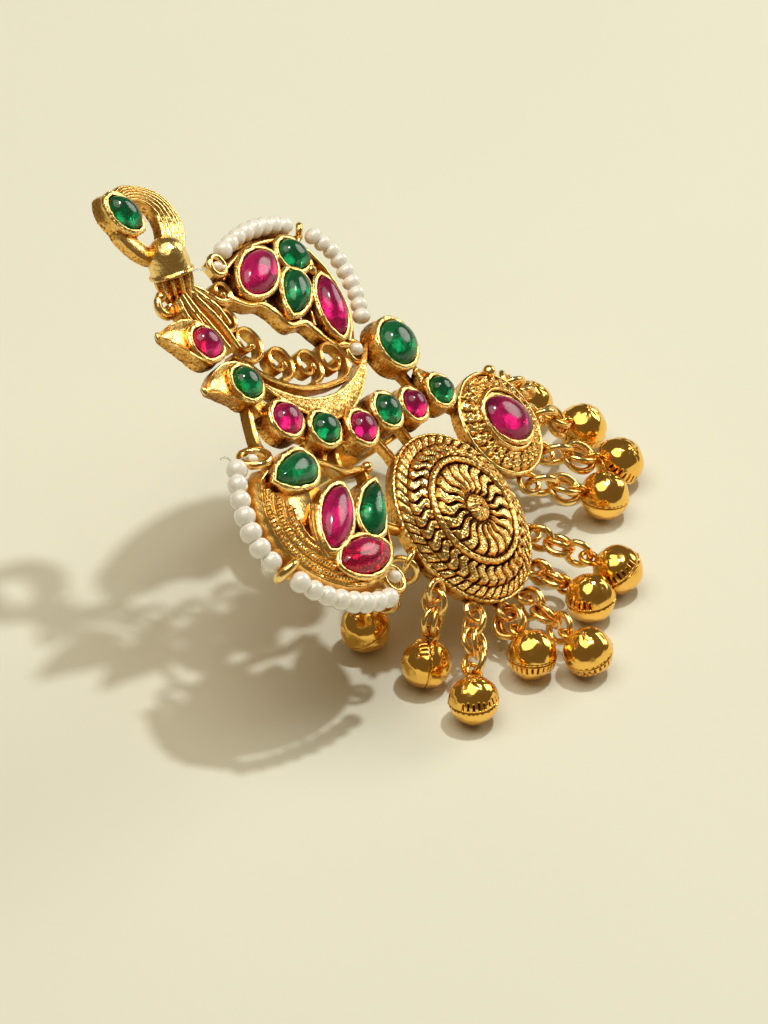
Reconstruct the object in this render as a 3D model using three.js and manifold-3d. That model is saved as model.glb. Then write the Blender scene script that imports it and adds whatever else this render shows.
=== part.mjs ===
// Finger ring in antique-gold temple work: an openwork peacock ornament with stones, seed pearls and bells,
// and a plain shank soldered behind it. Millimetres, +Z up. The ring rests on its shank and its bells.
//
// The ornament is drawn in a plate frame: x to the right, y towards the finial, z out of the face.
// Heights in that frame are measured from the rims of the border collets, so the casting lies below zero.

import * as THREE from 'three'
import { mergeVertices } from 'three/addons/utils/BufferGeometryUtils.js'
import Module from 'manifold-3d'

const wasm = await Module()
wasm.setup()

// ---- driving dimensions

const PLATE_PITCH = 40.1 // degrees that the finial end is raised
const PLATE_ROLL = 19.4 // degrees that the right-hand side is lowered
const BACK = -1.9 // back of the casting
const WEB_TOP = -1.3 // face of the thin webs between the raised parts
const COLLET_WALL = 0.5
const NECK_STRIPS = 5
const SEAT_DEPTH = 1.0
const LEAF_EDGE = -0.9 // depth of a leaf's thin point
const STONE_GAP = 0.3 // clearance of a stone in its seat
const DOME_HEIGHT = 0.8 // cabochon above its collet's rim

const SHANK = { x: 12.5, y: -1.7, outer: 8.8, inner: 7.9, width: 3, top: -1.4 }
const SUNBURST = { x: 8.8, y: -11.8, radius: 7.86, rim: -0.9 }
const FLOWER = { x: 20.4, y: -6.9, radius: 4.85, rim: -0.8 }

const BELL = { radius: 2.2, eye: 0.72, wire: 0.22 }
const LOOP = { radius: 0.92, wire: 0.27 }
const JUMP = { pitch: 2.15, wire: 0.25, bite: 0.34 }
const eyeReach = () => BELL.radius + 0.45 // from a bell's centre to its eye's

const COLOURS = { gold: '#d9a441', ruby: '#b3154f', emerald: '#0b6b3c', pearl: '#efe8da' }

// ---- small tools

const UP = new THREE.Vector3(0, 0, 1)
const radians = degrees => degrees * Math.PI / 180
const rows = (columns, values) => {
  const names = columns.split(' ')
  return values.map(row => Object.fromEntries(row.map((value, i) => [names[i], value])))
}

// A closed solid from any closed geometry, with its faces pointing out.
function solid (geometry) {
  const bare = geometry.clone()
  bare.deleteAttribute('normal')
  bare.deleteAttribute('uv')
  const merged = mergeVertices(bare, 1e-4)
  const at = merged.attributes.position
  const kept = []
  let volume = 0
  for (let i = 0; i < merged.index.count; i += 3) {
    const corner = [0, 1, 2].map(k => merged.index.getX(i + k))
    if (new Set(corner).size < 3) continue
    kept.push(corner)
    const [a, b, c] = corner.map(k => new THREE.Vector3().fromBufferAttribute(at, k))
    volume += a.dot(b.cross(c))
  }
  const triVerts = kept.flatMap(([a, b, c]) => volume < 0 ? [a, c, b] : [a, b, c])
  return new wasm.Manifold(new wasm.Mesh({
    numProp: 3,
    vertProperties: new Float32Array(at.array),
    triVerts: new Uint32Array(triVerts)
  }))
}

const joined = solids => wasm.Manifold.union(solids)

function geometryOf (manifold) {
  const mesh = manifold.getMesh()
  const geometry = new THREE.BufferGeometry()
  geometry.setAttribute('position', new THREE.BufferAttribute(new Float32Array(mesh.vertProperties), 3))
  geometry.setIndex(new THREE.BufferAttribute(new Uint32Array(mesh.triVerts), 1))
  geometry.computeVertexNormals()
  return geometry
}

// A flat outline, extruded between two heights.
function slab (points, low, high) {
  const shape = new THREE.Shape(points.map(([x, y]) => new THREE.Vector2(x, y)))
  const geometry = new THREE.ExtrudeGeometry(shape, { depth: high - low, bevelEnabled: false })
  return solid(geometry.translate(0, 0, low))
}

// Points along a smooth line through a few hand-placed ones.
function smooth (points, count) {
  const curve = new THREE.SplineCurve(points.map(([x, y]) => new THREE.Vector2(x, y)))
  return curve.getSpacedPoints(count).map(p => [p.x, p.y])
}

// A strip of metal that follows a line in the plate.
function ribbon (line, width, low, high) {
  const side = sign => line.map(([x, y], i) => {
    const [ax, ay] = line[Math.max(i - 1, 0)]
    const [bx, by] = line[Math.min(i + 1, line.length - 1)]
    const long = Math.hypot(bx - ax, by - ay)
    return [x - sign * width / 2 * (by - ay) / long, y + sign * width / 2 * (bx - ax) / long]
  })
  return slab([...side(1), ...side(-1).reverse()], low, high)
}

// A solid turned about z whose radius follows an outline: rows of [share of outline, added width, height].
function turned (profile, reach, count) {
  const section = profile.map(([share, added], i) => new THREE.Vector2(share || added ? 1 : 0, i))
  const geometry = new THREE.LatheGeometry(section, count)
  const at = geometry.attributes.position
  for (let i = 0; i < at.count; i++) {
    const [share, added, height] = profile[i % profile.length]
    const turn = Math.floor(i / profile.length) / count * 2 * Math.PI
    const radius = share * reach(turn) + added
    at.setXYZ(i, radius * Math.cos(turn), radius * Math.sin(turn), height)
  }
  return solid(geometry)
}

// A round wire bent into a ring: its centre, the direction through its hole, radius and wire radius.
function ringOfWire (centre, through, radius, wire, around = 8, across = 4) {
  const section = new THREE.Shape().absarc(radius, 0, wire, 0, 2 * Math.PI).getPoints(across)
  const geometry = new THREE.LatheGeometry(section.slice(0, across).concat(section[0]), around)
  const turn = new THREE.Quaternion().setFromUnitVectors(new THREE.Vector3(0, 1, 0), through)
  return solid(geometry.applyQuaternion(turn).translate(centre.x, centre.y, centre.z))
}

// ---- cuts of stone: the radius of the outline at an angle, long axis or point along +x

const CUTS = {
  oval: ({ long, wide }) => turn => long * wide / Math.hypot(wide * Math.cos(turn), long * Math.sin(turn)),
  marquise: ({ long, wide }) => turn => {
    const inset = (long * long - wide * wide) / (2 * wide)
    const rise = inset * Math.abs(Math.sin(turn))
    return Math.sqrt(rise * rise + long * long) - rise
  },
  pear: ({ long, wide }) => turn => {
    const heel = wide - long // x of the centre of the round end
    const lean = Math.acos(wide / (long - heel)) // direction of the straight sides' normal
    const bend = Math.atan2(wide * Math.sin(lean), heel + wide * Math.cos(lean))
    const angle = Math.abs(Math.atan2(Math.sin(turn), Math.cos(turn)))
    if (angle < bend) return (heel * Math.cos(lean) + wide) / Math.cos(lean - angle)
    const along = heel * Math.cos(angle)
    return along + Math.sqrt(along * along + wide * wide - heel * heel)
  }
}

const STONES = rows('name gem cut x y long wide turn rim back sides', [
  ['finial_emerald', 'emerald', 'marquise', -8.15, 24.7, 1.85, 1.3, 117, 0, -1.6, 10],
  ['leaf_ruby', 'ruby', 'pear', -8.4, 11.9, 1.65, 1.35, -40, 0, BACK, 10],
  ['leaf_emerald', 'emerald', 'oval', -6.8, 7.4, 1.55, 1.4, 150, 0, BACK, 10],
  ['border_ruby_1', 'ruby', 'oval', -4.9, 3.1, 1.6, 1.4, 170, 0, BACK, 10],
  ['border_emerald_2', 'emerald', 'oval', -1.2, 0.7, 1.5, 1.35, 170, 0, BACK, 10],
  ['border_ruby_3', 'ruby', 'oval', 3.2, -0.9, 1.4, 1.35, 160, 0, BACK, 10],
  ['border_emerald_4', 'emerald', 'oval', 7.4, -0.8, 1.4, 1.35, 160, 0, BACK, 10],
  ['border_ruby_5', 'ruby', 'oval', 10.9, -1.6, 1.25, 1.2, 90, 0, BACK, 10],
  ['border_emerald_6', 'emerald', 'oval', 15.1, -1.8, 1.3, 1.2, 160, 0, BACK, 10],
  ['large_emerald', 'emerald', 'oval', 12.7, 3.5, 2.05, 2.0, 0, 0.7, -1.3, 12],
  ['flower_ruby', 'ruby', 'oval', 20.4, -6.9, 2.55, 1.9, 139, 0.3, BACK, 12],
  ['lower_wing_emerald_1', 'emerald', 'pear', -7.9, -0.95, 2.85, 1.5, 175, 0, BACK, 12],
  ['lower_wing_ruby_1', 'ruby', 'marquise', -6.6, -6.0, 3.5, 1.6, 32, 0, BACK, 12],
  ['lower_wing_emerald_2', 'emerald', 'pear', -1.8, -7.0, 2.75, 1.4, 38, 0, BACK, 12],
  ['lower_wing_ruby_2', 'ruby', 'marquise', -6.2, -10.0, 3.35, 1.6, 172, 0, BACK, 12],
  ['upper_wing_ruby_1', 'ruby', 'marquise', 2.8, 14.7, 2.95, 1.7, 12, 0, BACK, 12],
  ['upper_wing_emerald_1', 'emerald', 'pear', 8.2, 14.35, 1.7, 1.35, -45, 0, BACK, 10],
  ['upper_wing_emerald_2', 'emerald', 'pear', 5.6, 11.6, 2.3, 1.45, 215, 0, BACK, 12],
  ['upper_wing_ruby_2', 'ruby', 'marquise', 8.8, 9.1, 2.75, 1.4, 68, 0, BACK, 12]
])

const placed = (body, { x, y, turn = 0 }) => body.rotate([0, 0, turn]).translate([x, y, 0])

// ---- the cast frame

// A collet: a walled cup with a seat for its stone.
function collet (stone) {
  const { rim, back } = stone
  const seat = rim - SEAT_DEPTH
  const profile = [
    [0, 0, back], [0.95, COLLET_WALL, back], [1, COLLET_WALL, rim],
    [1, STONE_GAP - 0.05, rim], [1, STONE_GAP - 0.05, seat], [0, 0, seat]
  ]
  return placed(turned(profile, CUTS[stone.cut](stone), stone.sides), stone)
}

// The room that each stone needs, cut out of whatever crosses its seat.
function seatRoom (stone) {
  const low = stone.rim - SEAT_DEPTH
  const profile = [[0, 0, low], [1, STONE_GAP - 0.05, low], [1, STONE_GAP - 0.05, 3], [0, 0, 3]]
  return placed(turned(profile, CUTS[stone.cut](stone), stone.sides), stone)
}

// A leaf's pointed tip, which runs out from the side of a round collet.
function leafTip ({ x, y, radius, tipX, tipY, bend }) {
  const out = new THREE.Vector2(tipX - x, tipY - y)
  const unit = out.clone().normalize()
  const cross = new THREE.Vector2(-unit.y, unit.x)
  const spot = (along, side) => (
    new THREE.Vector2(x, y).addScaledVector(out, along).addScaledVector(cross, side)
  )
  const leaf = (reach, low, high) => {
    const shape = new THREE.Shape()
    const [start, bulge, tip, hollow, end] = [
      spot(0, radius), spot(0.55 * reach, radius * 0.75 + bend), spot(reach, 0),
      spot(0.55 * reach, -radius * 0.75 + bend), spot(0, -radius)
    ]
    shape.moveTo(start.x, start.y)
    shape.quadraticCurveTo(bulge.x, bulge.y, tip.x, tip.y)
    shape.quadraticCurveTo(hollow.x, hollow.y, end.x, end.y)
    return slab(shape.getPoints(5).slice(0, -1).map(p => [p.x, p.y]), low, high)
  }
  return joined([leaf(1, LEAF_EDGE, -0.1), leaf(0.7, BACK, LEAF_EDGE)])
}

const LEAVES = rows('x y radius tipX tipY bend', [
  [-8.4, 11.9, 1.75, -13.4, 14.6, -0.7],
  [-6.8, 7.4, 1.75, -12.1, 8.7, -0.7],
  [15.1, -1.8, 1.55, 13.9, 0.7, 0.4]
])

// A curl: points that wind in from the foot, so many degrees, to a small inner end.
function curl ({ x, y, radius, start, sweep, tight = 0.72 }, count = 11) {
  return Array.from({ length: count + 1 }, (_, i) => {
    const share = i / count
    const turn = radians(start + share * sweep)
    const reach = radius * (1 - tight * share ** 1.6)
    return [x + reach * Math.cos(turn), y + reach * Math.sin(turn)]
  })
}

const scroll = row => ribbon(curl(row), 0.45, -1.7, -0.6)

const SCROLLS = rows('x y radius start sweep', [
  [-2.2, 14.9, 1.15, 200, 400],
  [-3.6, 12.8, 1.15, 190, 400],
  [-3.0, 10.2, 1.7, 215, 430],
  [-0.8, 7.4, 1.6, 235, 430],
  [2.3, 5.9, 1.6, 250, 430],
  [5.6, 5.2, 1.8, 265, 430]
])

// The outer edges of the two wings.
const LOWER_WING_EDGE = [
  [-10.6, 0.4], [-12.6, -0.3], [-14.2, -2.4], [-14.7, -5.0], [-14.2, -7.4], [-12.6, -9.6],
  [-10.0, -11.5], [-7.2, -12.3], [-4.6, -12.2], [-2.4, -11.0], [-1.2, -9.2]
]
const UPPER_WING_EDGE = [
  [-0.9, 16.2], [1.0, 16.6], [3.9, 16.9], [7.4, 16.3], [9.6, 15.2],
  [10.8, 13.5], [11.3, 11.3], [11.1, 8.9], [10.1, 7.0], [8.6, 5.8]
]

// Strips of metal: their lines are hand-placed points, in order along the strip.
const STRIPS = rows('width low high steps line', [
  // finial: strap on the left, from the collet to the dome
  [1.0, -1.7, -0.5, 6, [[-9.4, 24.4], [-9.9, 23.3], [-9.6, 22.1], [-9.1, 21.1], [-7.6, 20.2]]],
  // stem: three ridged strips that fan out from the cup to the crescent and the leaf collet
  [0.7, BACK, -0.6, 4, [[-7.6, 16.5], [-7.9, 14.8], [-7.7, 13.4]]],
  [0.7, BACK, -0.5, 5, [[-7.0, 16.7], [-6.6, 14.6], [-5.9, 12.4], [-5.5, 10.2]]],
  [0.7, BACK, -0.6, 5, [[-6.4, 16.9], [-5.5, 15.2], [-4.9, 13.0], [-4.9, 10.6]]],
  [0.55, BACK, -0.6, 5, [[-6.0, 17.1], [-4.4, 16.0], [-2.9, 14.4], [-1.5, 13.9]]],
  // the upper wing's wavy inner edge, its outer rim, and the web under its stones
  [0.7, BACK, -0.6, 14, [[-1.9, 14.4], [0.1, 12.8], [2.0, 12.1], [2.9, 10.8], [3.0, 9.6], [4.5, 9.2],
    [5.7, 8.2], [6.5, 6.6], [8.6, 5.7]]],
  [0.5, BACK, -0.3, 16, UPPER_WING_EDGE],
  // the lower wing's rim, and the curved link from its first stone to the knob
  [0.5, BACK, -0.4, 20, LOWER_WING_EDGE],
  [0.7, BACK, -0.5, 5, [[-6.0, -2.0], [-3.8, -3.0], [-1.8, -3.6], [0.4, -3.5]]],
  // links that tie the lower wing to the border and the leaf collet
  [0.7, BACK, -0.7, 3, [[-1.9, -0.8], [-3.4, -2.2], [-4.6, -2.6]]],
  [0.7, BACK, -0.7, 3, [[-0.6, -0.9], [-1.2, -2.2], [-1.6, -3.6]]],
  [0.7, BACK, -0.7, 3, [[0.4, -3.5], [0.9, -4.4], [0.4, -5.4]]],
  [0.7, BACK, -0.9, 4, [[-7.0, 6.0], [-8.1, 4.2], [-8.9, 2.4], [-8.4, 0.6]]],
  // the backing of the border, and the strip that the scrolls grow from
  [1.6, BACK, -0.9, 12, [[-6.8, 7.4], [-4.9, 3.1], [-1.2, 0.7], [3.2, -0.9], [7.4, -0.8], [10.9, -1.6],
    [15.1, -1.8]]],
  [0.9, BACK, -0.6, 12, [[-5.6, 9.6], [-4.3, 8.6], [-3.2, 7.0], [-1.7, 5.9], [0.2, 4.9], [1.8, 4.2],
    [5.6, 3.4]]],
  // struts from the border to the sunburst disc, and from the last collets to the flower disc
  [0.9, BACK, -1.0, 2, [[5.2, -1.9], [5.9, -4.6]]],
  [0.9, BACK, -1.0, 2, [[8.9, -2.2], [9.3, -4.2]]],
  [0.9, BACK, -1.0, 2, [[15.8, -2.6], [17.2, -4.0]]],
  [0.9, BACK, -1.0, 2, [[13.2, 1.4], [13.9, -0.6]]],
  [0.9, BACK, -1.0, 2, [[0.1, -8.8], [1.6, -9.9]]],
  [0.9, BACK, -0.9, 2, [[9.2, 5.3], [10.9, 4.4]]],
  // the foot of the loop on the upper wing's corner
  [0.5, -1.3, -0.4, 2, [[9.8, 14.9], [10.9, 15.5]]]
])

// Thin webs: closed outlines of the sheet behind the raised parts.
const WEBS = rows('low high outline', [
  [BACK, WEB_TOP, [...LOWER_WING_EDGE, [-3.4, -6.8], [-4.4, -4.4], [-6.4, -2.2]]],
  [BACK, WEB_TOP, [...UPPER_WING_EDGE, [7.2, 7.4], [6.2, 9.4], [4.6, 10.4], [3.8, 12.6], [0.8, 13.2],
    [-1.2, 14.6]]]
])

// The crescent lies between two arcs that share their ends.
function crescent () {
  const tips = [[-4.6, 7.0], [10.4, 4.7]]
  const arc = (sag, count) => Array.from({ length: count + 1 }, (_, i) => {
    const share = i / count
    const drop = 4 * sag * share * (1 - share)
    return [tips[0][0] + share * (tips[1][0] - tips[0][0]) - 0.15 * drop,
      tips[0][1] + share * (tips[1][1] - tips[0][1]) - drop]
  })
  return slab([...arc(3.2, 12), ...arc(5.2, 12).reverse().slice(1, -1)], BACK, -0.5)
}

// The striped neck of the finial: stepped strips side by side, from the collet over and down to the dome.
function neck () {
  const inner = smooth([[-6.6, 25.6], [-4.5, 25.2], [-3.9, 23.9], [-4.3, 22.4], [-5.4, 21.0]], 8)
  const outer = smooth([[-8.0, 26.6], [-6.2, 26.8], [-3.9, 26.1], [-1.9, 24.9], [-1.1, 23.1], [-1.4, 21.1],
    [-3.5, 18.9]], 8)
  const strips = Array.from({ length: NECK_STRIPS }, (_, i) => {
    const share = (i + 0.5) / NECK_STRIPS
    const line = inner.map(([x, y], k) => [x + share * (outer[k][0] - x), y + share * (outer[k][1] - y)])
    return ribbon(line, 0.85, -1.6, -0.7 + 0.15 * (i % 2))
  })
  return joined(strips)
}

// The bud: a ball over a tapered cup that droops behind the plate.
const BUD = { centre: new THREE.Vector3(-6.43, 19.76, -0.2), axis: new THREE.Vector3(-0.057, -0.87, -0.489) }

function bud () {
  const profile = rows('out along', [
    [0, -1.75], [1.2, -1.25], [1.7, -0.4], [1.7, 1.2], [1.9, 1.45], [1.7, 1.7], [1.35, 2.8], [0.75, 4.2],
    [0, 4.4]
  ])
  const form = turned(profile.map(({ out, along }) => [out, 0, along]), () => 1, 12)
  const turn = new THREE.Quaternion().setFromUnitVectors(UP, BUD.axis.clone().normalize())
  const place = new THREE.Matrix4().makeRotationFromQuaternion(turn).setPosition(BUD.centre)
  return form.transform(place.elements)
}

// The hook is a small open curl at the foot of the cup.
function hook () {
  const line = curl({ x: -8.3, y: 16.5, radius: 1.05, start: -50, sweep: -300, tight: 0.5 })
  return ribbon(line, 0.5, -2.6, -1.4)
}

// A disc turned about its own centre: rows of [radius, height above its rim].
function disc ({ x, y, rim }, profile, count) {
  const section = [[0, 0, BACK], ...profile.map(([radius, height]) => [radius, 0, rim + height])]
  section.splice(1, 0, [profile[0][0] - 0.15, 0, BACK])
  return turned(section, () => 1, count).translate([x, y, 0])
}

const sunburst = () => disc(SUNBURST, [
  [SUNBURST.radius, 0], [7.2, 0.25], [6.4, 0.35], [5.2, 1.25], [4.9, 1.75], [4.4, 1.75], [4.1, 1.45],
  [1.5, 1.75], [0.9, 2.4], [0, 2.65]
], 24)

const flower = () => disc(FLOWER, [
  [FLOWER.radius, 0], [4.3, 0.3], [3.9, 0.3], [3.5, 0.05], [2.9, 0.3], [0, 0.3]
], 20)

// The shank is a plain band, its bore along the plate's y.
function shank () {
  const band = new THREE.Shape().absarc(0, 0, SHANK.outer, 0, 2 * Math.PI)
  band.holes.push(new THREE.Path().absarc(0, 0, SHANK.inner, 0, 2 * Math.PI))
  const settings = { depth: SHANK.width, bevelEnabled: false, curveSegments: 20 }
  const geometry = new THREE.ExtrudeGeometry(band, settings)
  geometry.translate(0, 0, -SHANK.width / 2).rotateX(Math.PI / 2)
  return solid(geometry.translate(SHANK.x, SHANK.y, SHANK.top - SHANK.outer))
}

// Loops cast on the edges of the two discs: each is named by its disc and its angle there.
const onDisc = (disc, angle, out, height) => new THREE.Vector3(
  disc.x + (disc.radius + out) * Math.cos(radians(angle)),
  disc.y + (disc.radius + out) * Math.sin(radians(angle)),
  height
)

const LOOP_DEPTH = -1.5
const LOOP_LEAN = 0.95 // 1 would turn a loop's plane fully along its chain
const loopCentre = ({ disc, angle }) => onDisc(disc, angle, LOOP.radius - 0.2, LOOP_DEPTH)

// Loops that hold the pearl strands: the end loops lie flat, the middle ones stand across the strand.
const PEARL_LOOPS = rows('x y z radius wire through', [
  [-0.95, 16.95, -0.5, 0.85, 0.3, [0, 0, 1]],
  [9.2, 4.8, -1.0, 0.95, 0.28, [0, 0, 1]],
  [-10.6, 1.8, -1.2, 0.95, 0.34, [0, 0, 1]],
  [-3.1, -12.9, -1.3, 1.1, 0.28, [0, 0, 1]],
  [11.3, 15.8, -0.6, 0.55, 0.3, [0.506, -0.547, 0.667]],
  [-14.85, -7.5, -1.2, 0.98, 0.32, [0.12, -0.98, 0.16]]
])

const pearlLoop = ({ x, y, z, radius, wire, through }) => (
  ringOfWire(new THREE.Vector3(x, y, z), new THREE.Vector3(...through).normalize(), radius, wire)
)

// ---- bells: where each rests on the floor, and the loop that its chain starts from

const BELLS = rows('name x y disc angle', [
  ['bell_1', -2.2, -5.3, SUNBURST, 184],
  ['bell_2', -1.9, -12.2, SUNBURST, 207],
  ['bell_3', -2.5, -18.3, SUNBURST, 236],
  ['bell_4', 5.1, -17.7, SUNBURST, 262],
  ['bell_5', 8.6, -20.8, SUNBURST, 284],
  ['bell_6', 13.8, -16.1, SUNBURST, 308],
  ['bell_7', 18.1, -15.2, SUNBURST, 331],
  ['bell_8', 24.4, -7.6, FLOWER, 268],
  ['bell_9', 28.5, -5.4, FLOWER, 313],
  ['bell_10', 29.6, 0.0, FLOWER, 350],
  ['bell_11', 28.6, 5.4, FLOWER, 28]
])

const plateTurn = new THREE.Euler(radians(PLATE_PITCH), radians(PLATE_ROLL), 0)
const turnMatrix = new THREE.Matrix4().makeRotationFromEuler(plateTurn)

// The plate's height above the floor is the one at which the shank's lowest corner touches it.
const PLATE_HEIGHT = -shank().transform(turnMatrix.elements).boundingBox().min[2]
const toFloor = point => point.clone().applyEuler(plateTurn).add(new THREE.Vector3(0, 0, PLATE_HEIGHT))

const bellCentre = ({ x, y }) => new THREE.Vector3(x, y, BELL.radius)

// A disc's loop leans towards its bell, so that the chain passes squarely through it.
function loopNormal (row) {
  const way = bellCentre(row).sub(toFloor(loopCentre(row))).normalize()
  const up = UP.clone().applyEuler(plateTurn)
  return up.addScaledVector(way, -LOOP_LEAN * up.dot(way)).normalize()
}

function discLoop (row) {
  const turnBack = new THREE.Quaternion().setFromEuler(plateTurn).invert()
  return ringOfWire(loopCentre(row), loopNormal(row).applyQuaternion(turnBack), LOOP.radius, LOOP.wire)
}

// A bell: two pressed cups that meet at a seam, and a wire eye that faces its chain.
function bell (centre, axis, eyeThrough) {
  const { radius } = BELL
  const profile = rows('out up', [
    [0, -0.95], [0.6, -0.8], [0.93, -0.35], [1, 0], [0.93, 0.35], [0.6, 0.8], [0, 0.95]
  ])
  const body = turned(profile.map(({ out, up }) => [out * radius, 0, up * radius]), () => 1, 11)
  const eyeCentre = new THREE.Vector3(0, 0, eyeReach())
  const eye = ringOfWire(eyeCentre, new THREE.Vector3(1, 0, 0), BELL.eye, BELL.wire)
  const across = eyeThrough.clone().addScaledVector(axis, -eyeThrough.dot(axis)).normalize()
  const place = new THREE.Matrix4().makeBasis(across, axis.clone().cross(across), axis).setPosition(centre)
  const whole = joined([body, eye]).transform(place.elements)
  return whole.translate([0, 0, -whole.boundingBox().min[2]])
}

// The chain between a loop and a bell's eye: jump rings that bite into each other, so that it is one solid.
// Its end wires pass through the middle of the loop and of the eye, clear of both.
function chain (from, to, firstThrough) {
  const along = to.clone().sub(from)
  const direction = along.clone().normalize()
  const count = Math.max(1, Math.round(along.length() / JUMP.pitch))
  const radius = (along.length() + (count - 1) * JUMP.bite) / count / 2
  const links = []
  let through = direction.clone().cross(firstThrough).normalize()
  for (let i = 0; i < count; i++) {
    const reach = radius + i * (2 * radius - JUMP.bite)
    links.push(ringOfWire(from.clone().addScaledVector(direction, reach), through, radius, JUMP.wire))
    through = direction.clone().cross(through).normalize()
  }
  return { links: joined(links), through }
}

// ---- pearls: strands of seed pearls that touch, so that each strand is one solid

const STRANDS = rows('name count radius z line', [
  ['lower_wing_pearls_1', 7, 0.85, -1.4, [[-13.1, 1.8], [-14.6, 0.1], [-16.0, -2.6], [-16.3, -4.7],
    [-16.0, -6.2]]],
  ['lower_wing_pearls_2', 8, 0.85, -0.5, [[-15.1, -9.0], [-13.5, -10.8], [-10.7, -12.7], [-8.1, -13.7],
    [-6.2, -14.1]]],
  ['upper_wing_pearls_1', 8, 0.8, -0.5, [[1.15, 17.95], [3.4, 18.3], [6.0, 18.15], [8.3, 17.65],
    [9.75, 16.95]]],
  ['upper_wing_pearls_2', 8, 0.72, -0.2, [[12.4, 14.3], [13.2, 12.9], [13.3, 11.2], [12.8, 8.9], [11.7, 7.2]]]
])

function strand ({ count, radius, z, line }) {
  const spots = smooth(line, count - 1)
  const step = Math.hypot(spots[1][0] - spots[0][0], spots[1][1] - spots[0][1])
  return joined(spots.map(([x, y], i) => {
    const [ax, ay] = spots[Math.max(i - 1, 0)]
    const [bx, by] = spots[Math.min(i + 1, count - 1)]
    const pearl = new THREE.SphereGeometry(1, 7, 4).scale(radius, 0.54 * step, radius)
    return solid(pearl.rotateZ(Math.atan2(by - ay, bx - ax) - Math.PI / 2).translate(x, y, z))
  }))
}

// A cabochon: a girdle that sits in the collet, and a domed top.
function cabochon (stone) {
  const reach = CUTS[stone.cut](stone)
  const low = stone.rim - SEAT_DEPTH + STONE_GAP
  const profile = [
    [0, 0, low], [1, -0.05, low], [1, -0.05, stone.rim],
    [0.72, 0, stone.rim + 0.65 * DOME_HEIGHT], [0, 0, stone.rim + DOME_HEIGHT]
  ]
  return placed(turned(profile, reach, stone.sides), stone)
}

// ---- materials and assembly

const material = (color, roughness, metalness) => (
  new THREE.MeshStandardMaterial({ color, roughness, metalness })
)
const GOLD = () => material(COLOURS.gold, 0.28, 1)
const GEM = gem => material(COLOURS[gem], 0.08, 0)
const NACRE = () => material(COLOURS.pearl, 0.3, 0)

function mesh (name, body, surface) {
  const part = new THREE.Mesh(geometryOf(body), surface)
  part.name = name
  return part
}

function castFrame () {
  const raised = [
    ...STONES.filter(stone => stone.name !== 'flower_ruby').map(collet), ...LEAVES.map(leafTip),
    ...SCROLLS.map(scroll), ...WEBS.map(({ outline, low, high }) => slab(outline, low, high)),
    ...STRIPS.map(({ line, steps, width, low, high }) => ribbon(smooth(line, steps), width, low, high)),
    crescent(), neck(), bud(), hook(), sunburst(), flower(), shank(),
    ...PEARL_LOOPS.map(pearlLoop), ...BELLS.map(discLoop)
  ]
  return joined(raised).subtract(joined(STONES.map(seatRoom)))
}

const plate = new THREE.Group()
plate.rotation.copy(plateTurn)
plate.position.z = PLATE_HEIGHT
plate.add(mesh('cast_frame', castFrame(), GOLD()))
for (const stone of STONES) plate.add(mesh(stone.name, cabochon(stone), GEM(stone.gem)))
for (const row of STRANDS) plate.add(mesh(row.name, strand(row), NACRE()))

const group = new THREE.Group()
group.add(plate)
for (const row of BELLS) {
  const centre = bellCentre(row)
  const from = toFloor(loopCentre(row))
  const axis = from.clone().sub(centre).normalize()
  const to = centre.clone().addScaledVector(axis, eyeReach())
  const { links, through } = chain(from, to, loopNormal(row))
  group.add(mesh(row.name, bell(centre, axis, through), GOLD()))
  group.add(mesh(`${row.name}_chain`, links, GOLD()))
}

// The origin is at the bottom centre of the whole ring.
const box = new THREE.Box3().setFromObject(group, true)
group.position.set(-(box.min.x + box.max.x) / 2, -(box.min.y + box.max.y) / 2, 0)

export default group
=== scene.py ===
import math

import bpy
import numpy as np
from bpy.props import FloatProperty, FloatVectorProperty, IntProperty, PointerProperty
from mathutils import Matrix, Vector


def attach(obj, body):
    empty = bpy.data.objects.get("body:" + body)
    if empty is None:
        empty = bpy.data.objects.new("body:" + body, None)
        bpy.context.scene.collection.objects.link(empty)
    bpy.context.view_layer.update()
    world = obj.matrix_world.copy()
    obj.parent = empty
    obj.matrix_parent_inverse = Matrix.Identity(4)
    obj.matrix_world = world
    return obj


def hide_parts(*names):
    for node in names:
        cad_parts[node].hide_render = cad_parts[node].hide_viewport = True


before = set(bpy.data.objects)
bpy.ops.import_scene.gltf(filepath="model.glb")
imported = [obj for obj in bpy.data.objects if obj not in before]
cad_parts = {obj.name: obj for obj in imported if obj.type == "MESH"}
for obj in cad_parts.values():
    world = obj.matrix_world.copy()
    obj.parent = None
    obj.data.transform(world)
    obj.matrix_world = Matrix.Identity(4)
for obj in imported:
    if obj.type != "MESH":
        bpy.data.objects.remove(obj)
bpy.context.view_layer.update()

bl_info = {
    "name": "Peacock finger ring",
    "version": (1, 0, 0),
    "blender": (4, 5, 0),
    "location": "3D View > Sidebar > Ring",
    "description": "A temple-jewellery finger ring: cast openwork, cabochons, seed pearls and bells",
    "category": "Object",
}

# ---- the ring's own frame
# The ornament is drawn flat, in millimetres: x to the right, y towards the finial, z out of its face,
# with the rims of the border collets at zero. PLATE sets it in its place.

MM = 0.001
BACK = -1.9  # height of the casting's flat back
PLATE = (
    Matrix.Translation((-7.546, 1.2239, 19.3257))
    @ Matrix.Rotation(math.radians(40.1), 4, "X")
    @ Matrix.Rotation(math.radians(19.4), 4, "Y")
)
UPRIGHT = Matrix.Translation((-7.546, 1.2239, 0.0))


def rows(columns, values):
    """Rows of a table as dicts, from one line of column names."""
    names = columns.split()
    return [dict(zip(names, row)) for row in values]


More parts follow.
